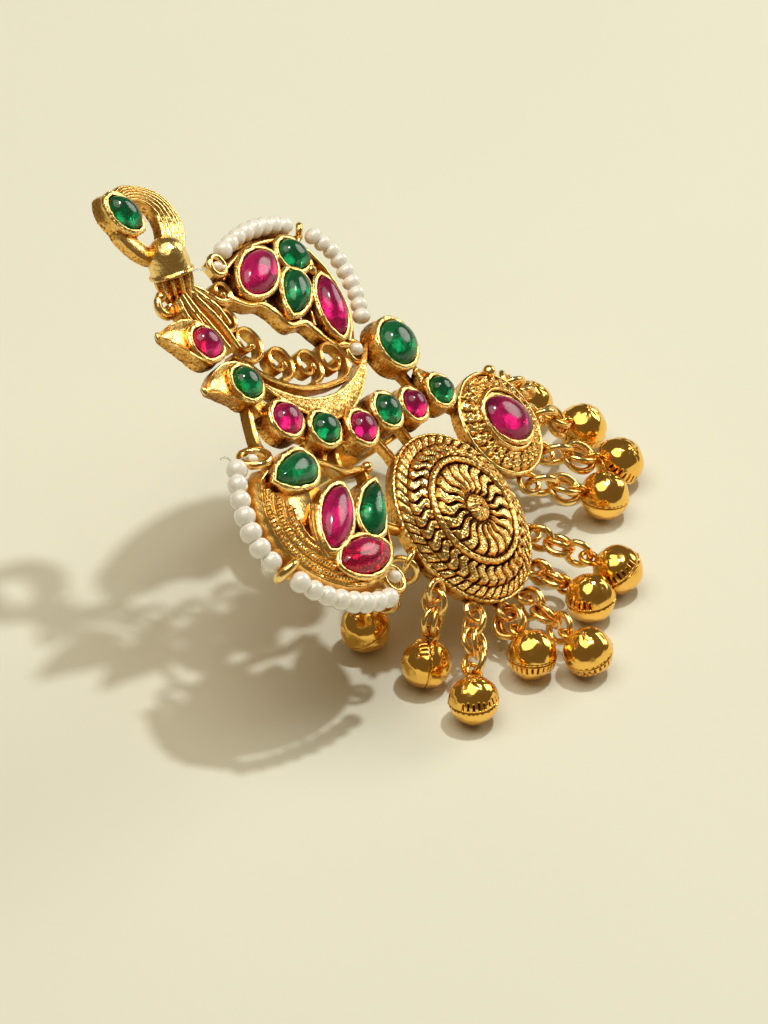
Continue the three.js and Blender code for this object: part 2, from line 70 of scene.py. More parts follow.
STONES = rows("node gem cut x y long wide turn rim back", [
    ("finial_emerald", "emerald", "marquise", -8.15, 24.7, 1.85, 1.3, 117, 0, -1.6),
    ("leaf_ruby", "ruby", "pear", -8.4, 11.9, 1.65, 1.35, -40, 0, BACK),
    ("leaf_emerald", "emerald", "oval", -6.8, 7.4, 1.55, 1.4, 150, 0, BACK),
    ("border_ruby_1", "ruby", "oval", -4.9, 3.1, 1.6, 1.4, 170, 0, BACK),
    ("border_emerald_2", "emerald", "oval", -1.2, 0.7, 1.5, 1.35, 170, 0, BACK),
    ("border_ruby_3", "ruby", "oval", 3.2, -0.9, 1.4, 1.35, 160, 0, BACK),
    ("border_emerald_4", "emerald", "oval", 7.4, -0.8, 1.4, 1.35, 160, 0, BACK),
    ("border_ruby_5", "ruby", "oval", 10.9, -1.6, 1.25, 1.2, 90, 0, BACK),
    ("border_emerald_6", "emerald", "oval", 15.1, -1.8, 1.3, 1.2, 160, 0, BACK),
    ("large_emerald", "emerald", "oval", 12.7, 3.5, 2.05, 2.0, 0, 0.7, -1.3),
    ("flower_ruby", "ruby", "oval", 20.4, -6.9, 2.55, 1.9, 139, 0.3, BACK),
    ("lower_wing_emerald_1", "emerald", "pear", -7.9, -0.95, 2.85, 1.5, 175, 0, BACK),
    ("lower_wing_ruby_1", "ruby", "marquise", -6.6, -6.0, 3.5, 1.6, 32, 0, BACK),
    ("lower_wing_emerald_2", "emerald", "pear", -1.8, -7.0, 2.75, 1.4, 38, 0, BACK),
    ("lower_wing_ruby_2", "ruby", "marquise", -6.2, -10.0, 3.35, 1.6, 172, 0, BACK),
    ("upper_wing_ruby_1", "ruby", "marquise", 2.8, 14.7, 2.95, 1.7, 12, 0, BACK),
    ("upper_wing_emerald_1", "emerald", "pear", 8.2, 14.35, 1.7, 1.35, -45, 0, BACK),
    ("upper_wing_emerald_2", "emerald", "pear", 5.6, 11.6, 2.3, 1.45, 215, 0, BACK),
    ("upper_wing_ruby_2", "ruby", "marquise", 8.8, 9.1, 2.75, 1.4, 68, 0, BACK),
])

STONE = {row["node"]: row for row in STONES}

SUNBURST = {"x": 8.8, "y": -11.8, "radius": 7.86, "rim": -0.9}
FLOWER = {"x": 20.4, "y": -6.9, "radius": 4.85, "rim": -0.8}
SHANK = {"x": 12.5, "y": -1.7, "outer": 8.8, "inner": 7.9, "width": 3.0, "top": -1.4}
# The loops on the discs, the chains' rings and the bells' eyes: radii, wire, overlaps and distances.
LOOP = {"radius": 0.92, "wire": 0.27, "depth": -1.5, "bite": 0.2, "lean": 0.95}
JUMP = {"pitch": 2.15, "bite": 0.34, "ease": 0.06}
SPARE = {"turn": 52, "aside": 0.3, "size": 1.05, "wire": 0.92}  # a chain's extra ring, beside its middle one
EYE = {"reach": 0.45, "radius": 0.72, "wire": 0.22}
BELL_RADIUS = 2.2

# Bells: the spot on the floor, the disc and the angle on it that the chain starts from, and the way that
# the seam faces, in parts of sideways, up and forwards, which SEAM_WAYS gives; the slots lie behind it.
BELLS = rows("number x y disc angle seam", [
    (1, -2.2, -5.3, SUNBURST, 184, (-0.5, 0.6, 0.6)),
    (2, -1.9, -12.2, SUNBURST, 207, (0.97, -0.05, -0.2)),
    (3, -2.5, -18.3, SUNBURST, 236, (0.08, -0.8, -0.58)),
    (4, 5.1, -17.7, SUNBURST, 262, (0.0, 0.88, 0.45)),
    (5, 8.6, -20.8, SUNBURST, 284, (-0.2, 0.72, 0.66)),
    (6, 13.8, -16.1, SUNBURST, 308, (0.1, -0.8, -0.6)),
    (7, 18.1, -15.2, SUNBURST, 331, (0.55, -0.65, -0.52)),
    (8, 24.4, -7.6, FLOWER, 268, (0.1, 0.85, 0.5)),
    (9, 28.5, -5.4, FLOWER, 313, (-0.6, -0.5, -0.6)),
    (10, 29.6, 0.0, FLOWER, 350, (0.3, 0.8, 0.5)),
    (11, 28.6, 5.4, FLOWER, 28, (-0.2, -0.8, -0.5)),
])
SEAM_WAYS = Matrix(((0.7, -0.714, 0.0), (0.457, 0.447, 0.769), (-0.55, -0.538, 0.639)))

# Seed-pearl strands: count, pearl radius, height of the thread, and the line it follows.
STRANDS = rows("node count radius z line", [
    ("lower_wing_pearls_1", 7, 0.93, -1.3,
     [(-12.85, 1.75), (-14.3, 0.1), (-15.7, -2.6), (-16.0, -4.7), (-15.7, -6.2)]),
    ("lower_wing_pearls_2", 8, 0.92, -0.5,
     [(-15.0, -8.9), (-13.4, -10.7), (-10.6, -12.6), (-8.1, -13.6), (-6.1, -14.0)]),
    ("upper_wing_pearls_1", 8, 0.84, -0.5,
     [(0.9, 17.8), (3.4, 18.15), (6.0, 18.0), (8.3, 17.5), (9.8, 16.9)]),
    ("upper_wing_pearls_2", 9, 0.8, -0.2,
     [(12.05, 14.9), (13.1, 12.9), (13.2, 11.2), (12.7, 8.9), (11.6, 7.0)]),
])

# The pearls in the strands' end loops: x, y, z and radius.
END_PEARLS = [
    (-0.95, 16.9, -0.5, 0.5), (-10.6, 1.8, -1.1, 0.55), (-3.0, -12.8, -1.1, 0.62), (9.2, 4.9, -0.7, 0.62),
]

# Thread beyond the strands: between two loops, and loose ends.
THREAD_ENDS = [
    [(-4.6, 17.9, -0.9), (-3.4, 17.6, -0.7), (-2.2, 17.2, -0.7), (-0.95, 16.9, -0.5), (0.6, 17.7, -0.5)],
    [(-12.7, 2.6, -1.4), (-13.3, 3.1, -1.2), (-13.9, 3.2, -1.3)],
    [(-10.6, 1.8, -1.1), (-11.6, 2.3, -1.0), (-12.7, 2.2, -1.4)],
]

LOWER_EDGE = [
    (-10.6, 0.4), (-12.6, -0.3), (-14.2, -2.4), (-14.7, -5.0), (-14.2, -7.4), (-12.6, -9.6),
    (-10.0, -11.5), (-7.2, -12.3), (-4.6, -12.2), (-2.4, -11.0), (-1.2, -9.2),
]
UPPER_EDGE = [
    (-0.9, 16.2), (1.0, 16.6), (3.9, 16.9), (7.4, 16.3), (9.6, 15.2),
    (10.8, 13.5), (11.3, 11.3), (11.1, 8.9), (10.1, 7.0), (8.6, 5.8),
]

# ---- lines


def smooth(points, count):
    """count evenly spaced points on a smooth line through a few given ones."""
    p = np.asarray(points, float)
    p = np.vstack([2 * p[0] - p[1], p, 2 * p[-1] - p[-2]])
    fine = []
    for i in range(1, len(p) - 2):
        for t in np.linspace(0, 1, 24, endpoint=False):
            a, b, c, d = p[i - 1], p[i], p[i + 1], p[i + 2]
            fine.append(0.5 * (2 * b + (c - a) * t + (2 * a - 5 * b + 4 * c - d) * t * t
                               + (3 * b - a - 3 * c + d) * t ** 3))
    fine = np.array(fine + [p[-2]])
    run = np.r_[0, np.cumsum(np.linalg.norm(np.diff(fine, axis=0), axis=1))]
    at = np.linspace(0, run[-1], count)
    return np.stack([np.interp(at, run, fine[:, k]) for k in range(fine.shape[1])], axis=1)


def sideways(line, closed=False):
    """Unit vectors to the left of a flat line, lengthened where it turns sharply."""
    line = np.asarray(line, float)[:, :2]
    if closed:
        before, after = line - np.roll(line, 1, 0), np.roll(line, -1, 0) - line
    else:
        step = np.diff(line, axis=0)
        before, after = np.vstack([step[:1], step]), np.vstack([step, step[-1:]])
    left = [np.stack([-d[:, 1], d[:, 0]], 1) / np.maximum(np.linalg.norm(d, axis=1), 1e-9)[:, None]
            for d in (before, after)]
    mean = left[0] + left[1]
    mean /= np.maximum(np.linalg.norm(mean, axis=1), 1e-9)[:, None]
    return mean / np.maximum((mean * left[0]).sum(1), 0.6)[:, None]


def reach(stone, angle):
    """Radius of a stone's outline at an angle; the long axis, or the point, lies along +x."""
    long, wide = stone["long"], stone["wide"]
    oval = long * wide / math.hypot(wide * math.cos(angle), long * math.sin(angle))
    if stone["cut"] == "oval":
        return oval
    if stone["cut"] == "marquise":
        rise = (long * long - wide * wide) / (2 * wide) * abs(math.sin(angle))
        return 0.5 * (math.sqrt(rise * rise + long * long) - rise) + 0.5 * oval
    heel = wide - long
    lean = math.acos(wide / (long - heel))
    bend = math.atan2(wide * math.sin(lean), heel + wide * math.cos(lean))
    angle = abs(math.atan2(math.sin(angle), math.cos(angle)))
    if angle < bend:
        drop = (heel * math.cos(lean) + wide) / math.cos(lean - angle)
    else:
        along = heel * math.cos(angle)
        drop = along + math.sqrt(along * along + wide * wide - heel * heel)
    return 0.45 * drop + 0.55 * oval


def outline(stone, count=64):
    """The stone's outline in the plate, anticlockwise."""
    turn = math.radians(stone["turn"])
    spots = []
    for i in range(count):
        angle = 2 * math.pi * i / count
        far = reach(stone, angle)
        spots.append((stone["x"] + far * math.cos(angle + turn), stone["y"] + far * math.sin(angle + turn)))
    return np.array(spots)


# ---- making meshes


def per_row(values, across):
    """One value for each row of a sheet, or None, spread over its columns."""
    return None if values is None else np.repeat(np.array(values, float)[:, None], across, 1)


class Form:
    """Collects surfaces in millimetres, with how deep in a recess each point lies, which the gold darkens as
    antiquing and painted shade, for one mesh.
    """

    def __init__(self, place=PLATE):
        self.place = place
        self.points = []
        self.recess = []
        self.faces = []
        self.size = 0

    def sheet(self, grid, recess=None, wrap=False, ends=False):
        """A surface over rows of points; wrap joins the last column to the first, ends closes it."""
        grid = np.asarray(grid, float)
        count, across, _ = grid.shape
        depth = np.clip((-grid[:, :, 2] - 0.35) / 1.2, 0, 1) if recess is None else np.broadcast_to(
            np.asarray(recess, float), (count, across))
        base = self.size
        self.points.append(grid.reshape(-1, 3))
        self.recess.append(np.asarray(depth, float).reshape(-1))
        self.size += count * across
        last = across if wrap else across - 1
        for i in range(count - 1):
            for j in range(last):
                k = (j + 1) % across
                a, b = base + i * across, base + (i + 1) * across
                self.faces.append((a + j, a + k, b + k, b + j))
        if ends:
            self.faces.append(tuple(base + j for j in reversed(range(across))))
            self.faces.append(tuple(base + (count - 1) * across + j for j in range(across)))

    def moulding(self, loop, profile, lid=False, recess=None):
        """A closed outline carried through rows of (distance outwards, height); lid closes both ends."""
        out = -sideways(loop, closed=True)
        loop = np.asarray(loop, float)[:, :2]
        grid = [np.c_[loop + far * out, np.full(len(loop), high)] for far, high in profile]
        self.sheet(grid, per_row(recess, len(loop)), wrap=True, ends=lid)

    def bar(self, line, section, widths=None, recess=None):
        """A section of (side, height) carried along a flat line and closed at its ends."""
        line = np.asarray(line, float)[:, :2]
        left = sideways(line)
        widths = np.ones(len(line)) if widths is None else np.asarray(widths, float)
        grid = [[(*(line[i] + side * widths[i] * left[i]), high) for side, high in section]
                for i in range(len(line))]
        self.sheet(grid, recess, wrap=True, ends=True)

    def wire(self, path, radius, sides=10, closed=False, recess=None):
        """A round wire along points in space."""
        path = np.asarray(path, float)
        count = len(path)
        ahead = np.roll(path, -1, 0) - np.roll(path, 1, 0)
        if not closed:
            ahead[0], ahead[-1] = path[1] - path[0], path[-1] - path[-2]
        ahead /= np.linalg.norm(ahead, axis=1)[:, None]
        radii = np.broadcast_to(radius, (count,))
        side = np.cross(ahead[0], (0.3, 0.2, 0.93))
        grid = []
        for i in range(count):
            side = side - ahead[i] * side.dot(ahead[i])
            side /= np.linalg.norm(side)
            other = np.cross(ahead[i], side)
            turn = np.linspace(0, 2 * math.pi, sides, endpoint=False)
            grid.append(path[i] + radii[i] * (np.cos(turn)[:, None] * side + np.sin(turn)[:, None] * other))
        if closed:
            first = np.array(grid[0])
            gaps = [np.linalg.norm(np.roll(first, k, 0) - grid[-1]) for k in range(sides)]
            grid.append(np.roll(first, int(np.argmin(gaps)), 0))
        self.sheet(grid, recess, wrap=True, ends=not closed)

    def ring(self, centre, through, radius, wire, around=36, sides=12, recess=None):
        """A wire ring about a centre."""
        through = np.asarray(through, float) / np.linalg.norm(through)
        first = np.cross(through, (0.12, 0.31, 0.94))
        first /= np.linalg.norm(first)
        second = np.cross(through, first)
        turn = np.linspace(0, 2 * math.pi, around, endpoint=False)
        path = np.asarray(centre, float) + radius * (
            np.cos(turn)[:, None] * first + np.sin(turn)[:, None] * second)
        self.wire(path, wire, sides, closed=True, recess=recess)

    def turned(self, centre, axis, profile, count=48, flute=None, recess=None):
        """A profile of (radius, distance along the axis), turned about it; flute(angle) scales its radii."""
        axis = np.asarray(axis, float) / np.linalg.norm(axis)
        first = np.cross(axis, (0.21, 0.11, 0.97) if abs(axis[2]) < 0.9 else (1, 0, 0))
        first /= np.linalg.norm(first)
        second = np.cross(axis, first)
        turn = np.linspace(0, 2 * math.pi, count, endpoint=False)
        grid = []
        for far, along in profile:
            radii = far * (flute(turn) if flute else 1)
            grid.append(np.asarray(centre, float) + along * axis
                        + (radii * np.cos(turn))[:, None] * first + (radii * np.sin(turn))[:, None] * second)
        self.sheet(grid, per_row(recess, count), wrap=True)

    def bead(self, centre, radii, axis=(0, 0, 1), around=16, steps=10):
        """A ball, or one with its own radius along the axis: (across, along)."""
        across, along = radii
        arc = np.linspace(0.02, math.pi - 0.02, steps)
        profile = [(across * math.sin(a), -along * math.cos(a)) for a in arc]
        self.turned(centre, axis, profile, around)

    def mesh(self, name, surface, crease=38, uneven=0.0):
        """The finished mesh object, in metres, standing in the ring's place."""
        points = np.vstack(self.points)
        x, y, z = points.T
        points = points + uneven * np.stack([
            np.sin(3.3 * y + 2.1 * z) + np.sin(7.9 * y - 5 * x),
            np.sin(3.7 * x + 1.9 * z) + np.sin(8.3 * x + 6 * y),
            np.sin(4.1 * x - 3.1 * y) + np.sin(9.1 * y + 6 * x)], 1)
        turn = np.array(self.place.to_3x3())
        placed = (points @ turn.T + np.array(self.place.translation)) * MM
        data = bpy.data.meshes.new(name)
        data.from_pydata(placed.tolist(), [], self.faces)
        deep = data.attributes.new("recess", "FLOAT", "POINT")
        deep.data.foreach_set("value", np.concatenate(self.recess).astype(np.float32))
        data.shade_smooth()
        data.set_sharp_from_angle(angle=math.radians(crease))
        data.materials.append(surface)
        piece = bpy.data.objects.new(name, data)
        bpy.context.scene.collection.objects.link(piece)
        return piece


def settle(piece, slot, *nodes):
    """The piece rides on the ring and stands for the CAD nodes it replaces; the slot it is given is not used.
    """
    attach(piece, "root")
    if nodes:
        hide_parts(*nodes)


def rounded(width, low, high, soft=0.14, groove=0.0):
    """The section of a strip with a softly rounded face, or with a groove along it."""
    half = width / 2
    return [
        (-half, low), (half, low), (half, high - 1.6 * soft), (half - 0.35 * soft, high - 0.6 * soft),
        (half - soft, high - 0.12 * soft), (0.3 * half, high - 0.4 * groove), (0, high - groove),
        (-0.3 * half, high - 0.4 * groove), (-half + soft, high - 0.12 * soft),
        (-half + 0.35 * soft, high - 0.6 * soft), (-half, high - 1.6 * soft),
    ]


# ---- finishes


def fill(node, values):
    """Sets constants on a node's own sockets, by name."""
    for name, value in values.items():
        node.inputs[name].default_value = value


def feed(tree, value, socket):
    """Links an output to a socket, or sets a constant on it."""
    if hasattr(value, "is_linked"):
        tree.links.new(value, socket)
    else:
        socket.default_value = value


def surface(name):
    """A new material with one Principled shader: the material, its tree and the shader."""
    material = bpy.data.materials.new(name)
    material.use_nodes = True
    tree = material.node_tree
    tree.nodes.clear()
    shader = tree.nodes.new("ShaderNodeBsdfPrincipled")
    output = tree.nodes.new("ShaderNodeOutputMaterial")
    tree.links.new(shader.outputs["BSDF"], output.inputs["Surface"])
    return material, tree, shader


def group(name, inputs, outputs):
    """An empty node group: its inputs are rows of (name, kind, default), its outputs of (name, kind)."""
    tree = bpy.data.node_groups.new(name, "ShaderNodeTree")
    for label, kind, default in inputs:
        socket = tree.interface.new_socket(name=label, in_out="INPUT", socket_type="NodeSocket" + kind)
        socket.default_value = default
    for label, kind in outputs:
        tree.interface.new_socket(name=label, in_out="OUTPUT", socket_type="NodeSocket" + kind)
    return tree, tree.nodes.new("NodeGroupInput"), tree.nodes.new("NodeGroupOutput")


def math_node(tree, operation, first, second, clamp=False):
    node = tree.nodes.new("ShaderNodeMath")
    node.operation = operation
    node.use_clamp = clamp
    for socket, value in zip(node.inputs, (first, second)):
        feed(tree, value, socket)
    return node.outputs["Value"]


def noise(tree, scale, detail, rough=0.5):
    """Noise from 0 to 1 that stays on the object."""
    where = tree.nodes.new("ShaderNodeTexCoord")
    node = tree.nodes.new("ShaderNodeTexNoise")
    fill(node, {"Scale": scale, "Detail": detail, "Roughness": rough})
    tree.links.new(where.outputs["Object"], node.inputs["Vector"])
    return node.outputs["Fac"]


def blend(tree, factor, first, second):
    """A colour that goes from the first to the second as the factor rises."""
    node = tree.nodes.new("ShaderNodeMix")
    node.data_type = "RGBA"
    for name, value in (("Factor", factor), ("A", first), ("B", second)):
        feed(tree, value, node.inputs[name])
    return node.outputs["Result"]


def bump(tree, shader, height, depth):
    """Gives the shader a bump of some depth, in millimetres."""
    node = tree.nodes.new("ShaderNodeBump")
    fill(node, {"Distance": depth * MM, "Strength": 1.0})
    tree.links.new(height, node.inputs["Height"])
    tree.links.new(node.outputs["Normal"], shader.inputs["Normal"])


def antiquing_and_shade_group():
    """Antiqued gold: bright on what stands up, brown where polish does not reach, and darkened by painted
    shade where ambient occlusion finds enclosed places.
    """
    tree, source, sink = group(
        "patina",
        [("Bright", "Color", (0.9, 0.6, 0.2, 1)), ("Warm", "Color", (0.7, 0.35, 0.06, 1)),
         ("Dark", "Color", (0.2, 0.08, 0.02, 1)), ("Amount", "Float", 1.0), ("Polish", "Float", 0.2),
         ("Pits", "Float", 1.0)],
        [("Color", "Color"), ("Roughness", "Float"), ("Height", "Float")],
    )
    given = source.outputs

    def plus(first, second, clamp=False):
        return math_node(tree, "ADD", first, second, clamp)

    def minus(first, second, clamp=False):
        return math_node(tree, "SUBTRACT", first, second, clamp)

    def times(first, second, clamp=False):
        return math_node(tree, "MULTIPLY", first, second, clamp)

    deep = tree.nodes.new("ShaderNodeAttribute")
    deep.attribute_name = "recess"
    occlusion_shade = tree.nodes.new("ShaderNodeAmbientOcclusion")
    occlusion_shade.samples = 6
    occlusion_shade.inputs["Distance"].default_value = 1.1 * MM
    # the mask: antiquing and painted shade, from the recess values and from ambient occlusion in enclosed
    # places, made uneven by stains and specks
    mask = plus(times(deep.outputs["Fac"], 0.75), times(minus(1.0, occlusion_shade.outputs["AO"]), 0.8))
    stain = times(minus(noise(tree, 900, 4, 0.6), 0.5), 0.7)
    speck = times(minus(noise(tree, 4300, 2), 0.5), given["Pits"])
    uneven = plus(stain, times(speck, 2.2))
    mask = times(plus(mask, uneven, True), given["Amount"], True)
    warm = blend(tree, times(mask, 1.7, True), given["Bright"], given["Warm"])
    dark = blend(tree, times(minus(mask, 0.5, True), 2.7, True), warm, given["Dark"])
    rough = plus(plus(given["Polish"], times(mask, 0.22)), times(noise(tree, 420, 3), 0.08))
    height = plus(times(noise(tree, 3200, 3, 0.6), given["Pits"]), noise(tree, 900, 2))
    for name, value in (("Color", dark), ("Roughness", rough), ("Height", height)):
        tree.links.new(value, sink.inputs[name])
    return tree


def gold(name, finish, amount=1.0, polish=0.16, pits=0.5, relief=0.055, bright=None):
    """A gold whose antiquing and painted shade, polish and pitting suit one kind of piece."""
    material, tree, shader = surface(name)
    coat = tree.nodes.new("ShaderNodeGroup")
    coat.node_tree = bpy.data.node_groups.get("patina") or antiquing_and_shade_group()
    fill(coat, {"Bright": (*(bright or finish.gold_bright), 1), "Warm": (*finish.gold_warm, 1),
                "Dark": (*finish.gold_dark, 1), "Amount": amount, "Polish": polish, "Pits": pits})
    tree.links.new(coat.outputs["Color"], shader.inputs["Base Color"])
    tree.links.new(coat.outputs["Roughness"], shader.inputs["Roughness"])
    bump(tree, shader, coat.outputs["Height"], relief)
    fill(shader, {"Metallic": 1.0})
    return material


def gem(name, colour, deep):
    """A polished glass cabochon whose colour clouds inside."""
    material, tree, shader = surface(name)
    cloud = math_node(tree, "MULTIPLY", noise(tree, 700, 3, 0.6), 1.3, True)
    tree.links.new(blend(tree, cloud, (*deep, 1), (*colour, 1)), shader.inputs["Base Color"])
    bump(tree, shader, noise(tree, 500, 2), 0.02)
    fill(shader, {"Roughness": 0.14, "IOR": 1.55, "Metallic": 0.0, "Transmission Weight": 0.9})
    return material


def foil(name, colour):
    """Bright foil under a stone, which lights it from below."""
    material, tree, shader = surface(name)
    crumple = noise(tree, 900, 3, 0.6)
    bump(tree, shader, crumple, 0.12)
    tree.links.new(math_node(tree, "MULTIPLY", crumple, 0.6), shader.inputs["Roughness"])
    fill(shader, {"Base Color": (*colour, 1), "Metallic": 0.8})
    return material


def nacre(name, colour):
    """Seed pearl: cream that clouds to a warmer cream, with a soft gloss."""
    material, tree, shader = surface(name)
    play = math_node(tree, "SUBTRACT", noise(tree, 500, 2), 0.35, True)
    tree.links.new(blend(tree, play, (*colour, 1), (0.86, 0.8, 0.64, 1)), shader.inputs["Base Color"])
    bump(tree, shader, noise(tree, 2600, 3), 0.015)
    fill(shader, {
        "Roughness": 0.14, "Coat Weight": 1.0, "Coat Roughness": 0.12, "Coat IOR": 1.8,
        "Subsurface Weight": 0.08, "Subsurface Radius": (0.6 * MM, 0.45 * MM, 0.35 * MM),
        "Subsurface Scale": 1.0,
    })
    return material


# ---- settings


def colour(name, description, default):
    return FloatVectorProperty(name=name, description=description, subtype="COLOR", size=3, default=default,
                               min=0, max=1)


def power(name, description, default):
    return FloatProperty(name=name, description=description, unit="POWER", default=default, min=0)


def metres(name, description, default, low, high):
    return FloatProperty(name=name, description=description, subtype="DISTANCE", unit="LENGTH",
                         default=default, min=low, max=high)


def number(name, description, default, low, high):
    return IntProperty(name=name, description=description, default=default, min=low, max=high)


class CastingSettings(bpy.types.PropertyGroup):
    """Sizes of the cast gold work."""

    lip: FloatProperty(name="Setting lip",
                       description="Height of a setting's lip above its rim, in millimetres",
                       default=0.08, min=0.0, max=0.3)
    wall: FloatProperty(name="Setting wall", description="Thickness of a setting's wall, in millimetres",
                        default=0.5, min=0.3, max=0.8)
    neck_ridges: number("Neck ridges", "Ridges along the finial's neck", 6, 3, 10)
    wing_ridges: number("Wing ridges", "Plain and beaded ridges in the lower wing", 7, 2, 9)


class DiscSettings(bpy.types.PropertyGroup):
    """Ornament of the two discs."""

    waves: number("Waves", "Wavy leaves round the large disc", 34, 12, 60)
    flames: number("Flames", "Wedge leaves inside its ring", 19, 8, 40)
    hatch: number("Rope turns", "Slanting leaves in its outer band", 46, 20, 80)
    petals: number("Petals", "Petals round the stone of the small disc", 23, 10, 40)


class HangingSettings(bpy.types.PropertyGroup):
    """Bells and chains."""

    bell_radius: metres("Bell radius", "Outside radius of a bell", BELL_RADIUS * MM, 0.001, 0.004)
    slots: number("Slots", "Slots beside a bell's seam, all the way round", 26, 2, 40)
    ring_wire: metres("Jump ring wire", "Radius of a jump ring's wire", 0.0003, 0.0001, 0.0005)


class FinishSettings(bpy.types.PropertyGroup):
    """Colours."""

    gold_bright: colour("Bright gold", "Polished gold", (1.0, 0.745, 0.285))
    # Warm gold and the dark below are reached through the recess values and ambient occlusion: antiquing in
    # hollows together with painted shade.
    gold_warm: colour("Warm gold", "Gold in shallow recesses", (0.9, 0.42, 0.06))
    gold_dark: colour("Antiquing", "Dark of the deep recesses", (0.12, 0.045, 0.01))
    ruby: colour("Ruby", "Colour of the red stones", (0.85, 0.02, 0.3))
    emerald: colour("Emerald", "Colour of the green stones", (0.003, 0.28, 0.115))
    pearl: colour("Pearl", "Colour of the seed pearls", (0.97, 0.96, 0.88))


class StageSettings(bpy.types.PropertyGroup):
    """Floor, light and camera."""

    floor: colour("Floor", "Colour of the paper under the ring", (0.85, 0.87, 0.73))
    key: power("Key light", "Power of the key light", 1.3)
    fill: power("Overhead", "Power of the broad overhead light", 1.5)
    card: power("Card", "Power of the bright card beside the ring", 1.0)
    sky: FloatProperty(name="Surroundings", description="Strength of the surroundings", default=0.15, min=0)
    distance: metres("Camera distance", "Distance of the camera from the ring", 1.2, 0.1, 2)


# ---- the cast work


def cast(context, form, name, uneven=0.01, **finish):
    """A piece of the casting, in its own antiquing and painted shade."""
    kind = gold(name + "_gold", context.scene.ring_finish, **finish)
    settle(form.mesh(name, kind, uneven=uneven), "cast_gold", "cast_frame")


def setting(form, stone, casting):
    """The setting round one stone: a stepped wall with a soft lip over the stone's edge."""
    loop = outline(stone)
    flare = 0.06
    rim, back, wall, lip = stone["rim"], stone["back"], casting.wall, casting.lip
    form.moulding(loop, [
        (wall - 0.06, back), (wall + flare + 0.04, back + 0.12), (wall + flare + 0.06, rim - 1.3),
        (wall + flare, rim - 0.9), (wall - 0.02, rim - 0.55), (wall + 0.02, rim - 0.3),
        (wall + 0.03, rim - 0.12), (wall - 0.05, rim + 0.01), (0.62 * wall, rim + 0.8 * lip),
        (0.4 * wall, rim + lip), (0.2 * wall, rim + 0.7 * lip), (0.04, rim - 0.04), (0.0, rim - 0.14),
        (0.0, rim - 0.9),
    ], lid=True, recess=[1, 0.9, 0.65, 0.5, 0.4, 0.2, 0.05, 0, 0, 0, 0, 0.2, 0.8, 1])


def leaf(form, stone, tip, bend, radius=2.0):
    """A blunt leaf that runs out from a setting: a polished, slightly hollow face over a tall wall."""
    foot = np.array((stone["x"], stone["y"]))
    way = np.array(tip) - foot
    across = np.array((-way[1], way[0])) / np.linalg.norm(way)
    section = np.array([
        (-0.92, BACK), (0.92, BACK), (0.98, -1.2), (1.0, -0.5), (1.0, -0.16), (0.97, -0.07), (0.9, -0.05),
        (0.78, -0.16), (0.5, -0.34), (0.25, -0.43), (0.0, -0.46),
        (-0.25, -0.43), (-0.5, -0.34), (-0.78, -0.16),
        (-0.9, -0.05), (-0.97, -0.07), (-1.0, -0.16), (-1.0, -0.5), (-0.98, -1.2),
    ])
    shade = np.array([1, 1, 0.85, 0.6, 0.3, 0, 0, 0.15, 0.1, 0, 0, 0, 0.1, 0.15, 0, 0, 0.3, 0.6, 0.85])
    steps, blunt = 30, 0.24
    grid = []
    for t in np.linspace(0, 1, steps):
        middle = foot + t * way + across * bend * 4 * t * (1 - t) * 0.5
        half = blunt + (radius - blunt) * math.cos(0.5 * math.pi * t) ** 1.1
        floor = 0.62 + 1.28 * (1 - t) ** 0.6
        high = section[:, 1] * np.where(section[:, 1] < -0.4, floor / -BACK, 1)
        high = high - 0.3 * np.clip(t - 0.86, 0, 1)
        grid.append(np.c_[middle + section[:, :1] * half * across, high])
    form.sheet(grid, np.tile(shade, (steps, 1)), wrap=True, ends=True)
    end = np.array(tip) + 0.04 * way / np.linalg.norm(way)
    ends = [np.r_[end + side * 0.34 * across, -0.26] for side in (-1, -0.3, 0.3, 1)]
    form.wire(ends, [0.16, 0.24, 0.24, 0.16], 10)


def spiral(x, y, radius, start, sweep, count=44, tight=0.72):
    """Points of a scroll, from its foot in to its inner curl."""
    share = np.linspace(0, 1, count)
    turn = np.radians(start + share * sweep)
    far = radius * (1 - tight * share ** 1.6)
    return np.stack([x + far * np.cos(turn), y + far * np.sin(turn)], 1)


SCROLLS = rows("x y radius start sweep", [
    (-2.2, 14.9, 1.15, 200, 400),
    (-3.6, 12.8, 1.15, 190, 400),
    (-3.0, 10.2, 1.7, 215, 430),
    (-0.8, 7.4, 1.6, 235, 430),
    (2.3, 5.9, 1.6, 250, 430),
    (5.6, 5.2, 1.8, 265, 430),
])


def scrolls(form):
    """The open scrolls, each with a small pin in its inner curl."""
    for row in SCROLLS:
        line = spiral(**row)
        taper = np.linspace(1.2, 0.9, len(line))
        form.bar(line, rounded(0.38, -1.75, -0.5, 0.1, groove=0.08), widths=taper)
        x, y = line[-1]
        pin = [(0.26, -1.7), (0.28, -1.0), (0.34, -0.62), (0.3, -0.45), (0.17, -0.38), (0.0, -0.36)]
        form.turned((x, y, 0), (0, 0, 1), pin, 20, recess=[1, 0.7, 0.2, 0, 0, 0])


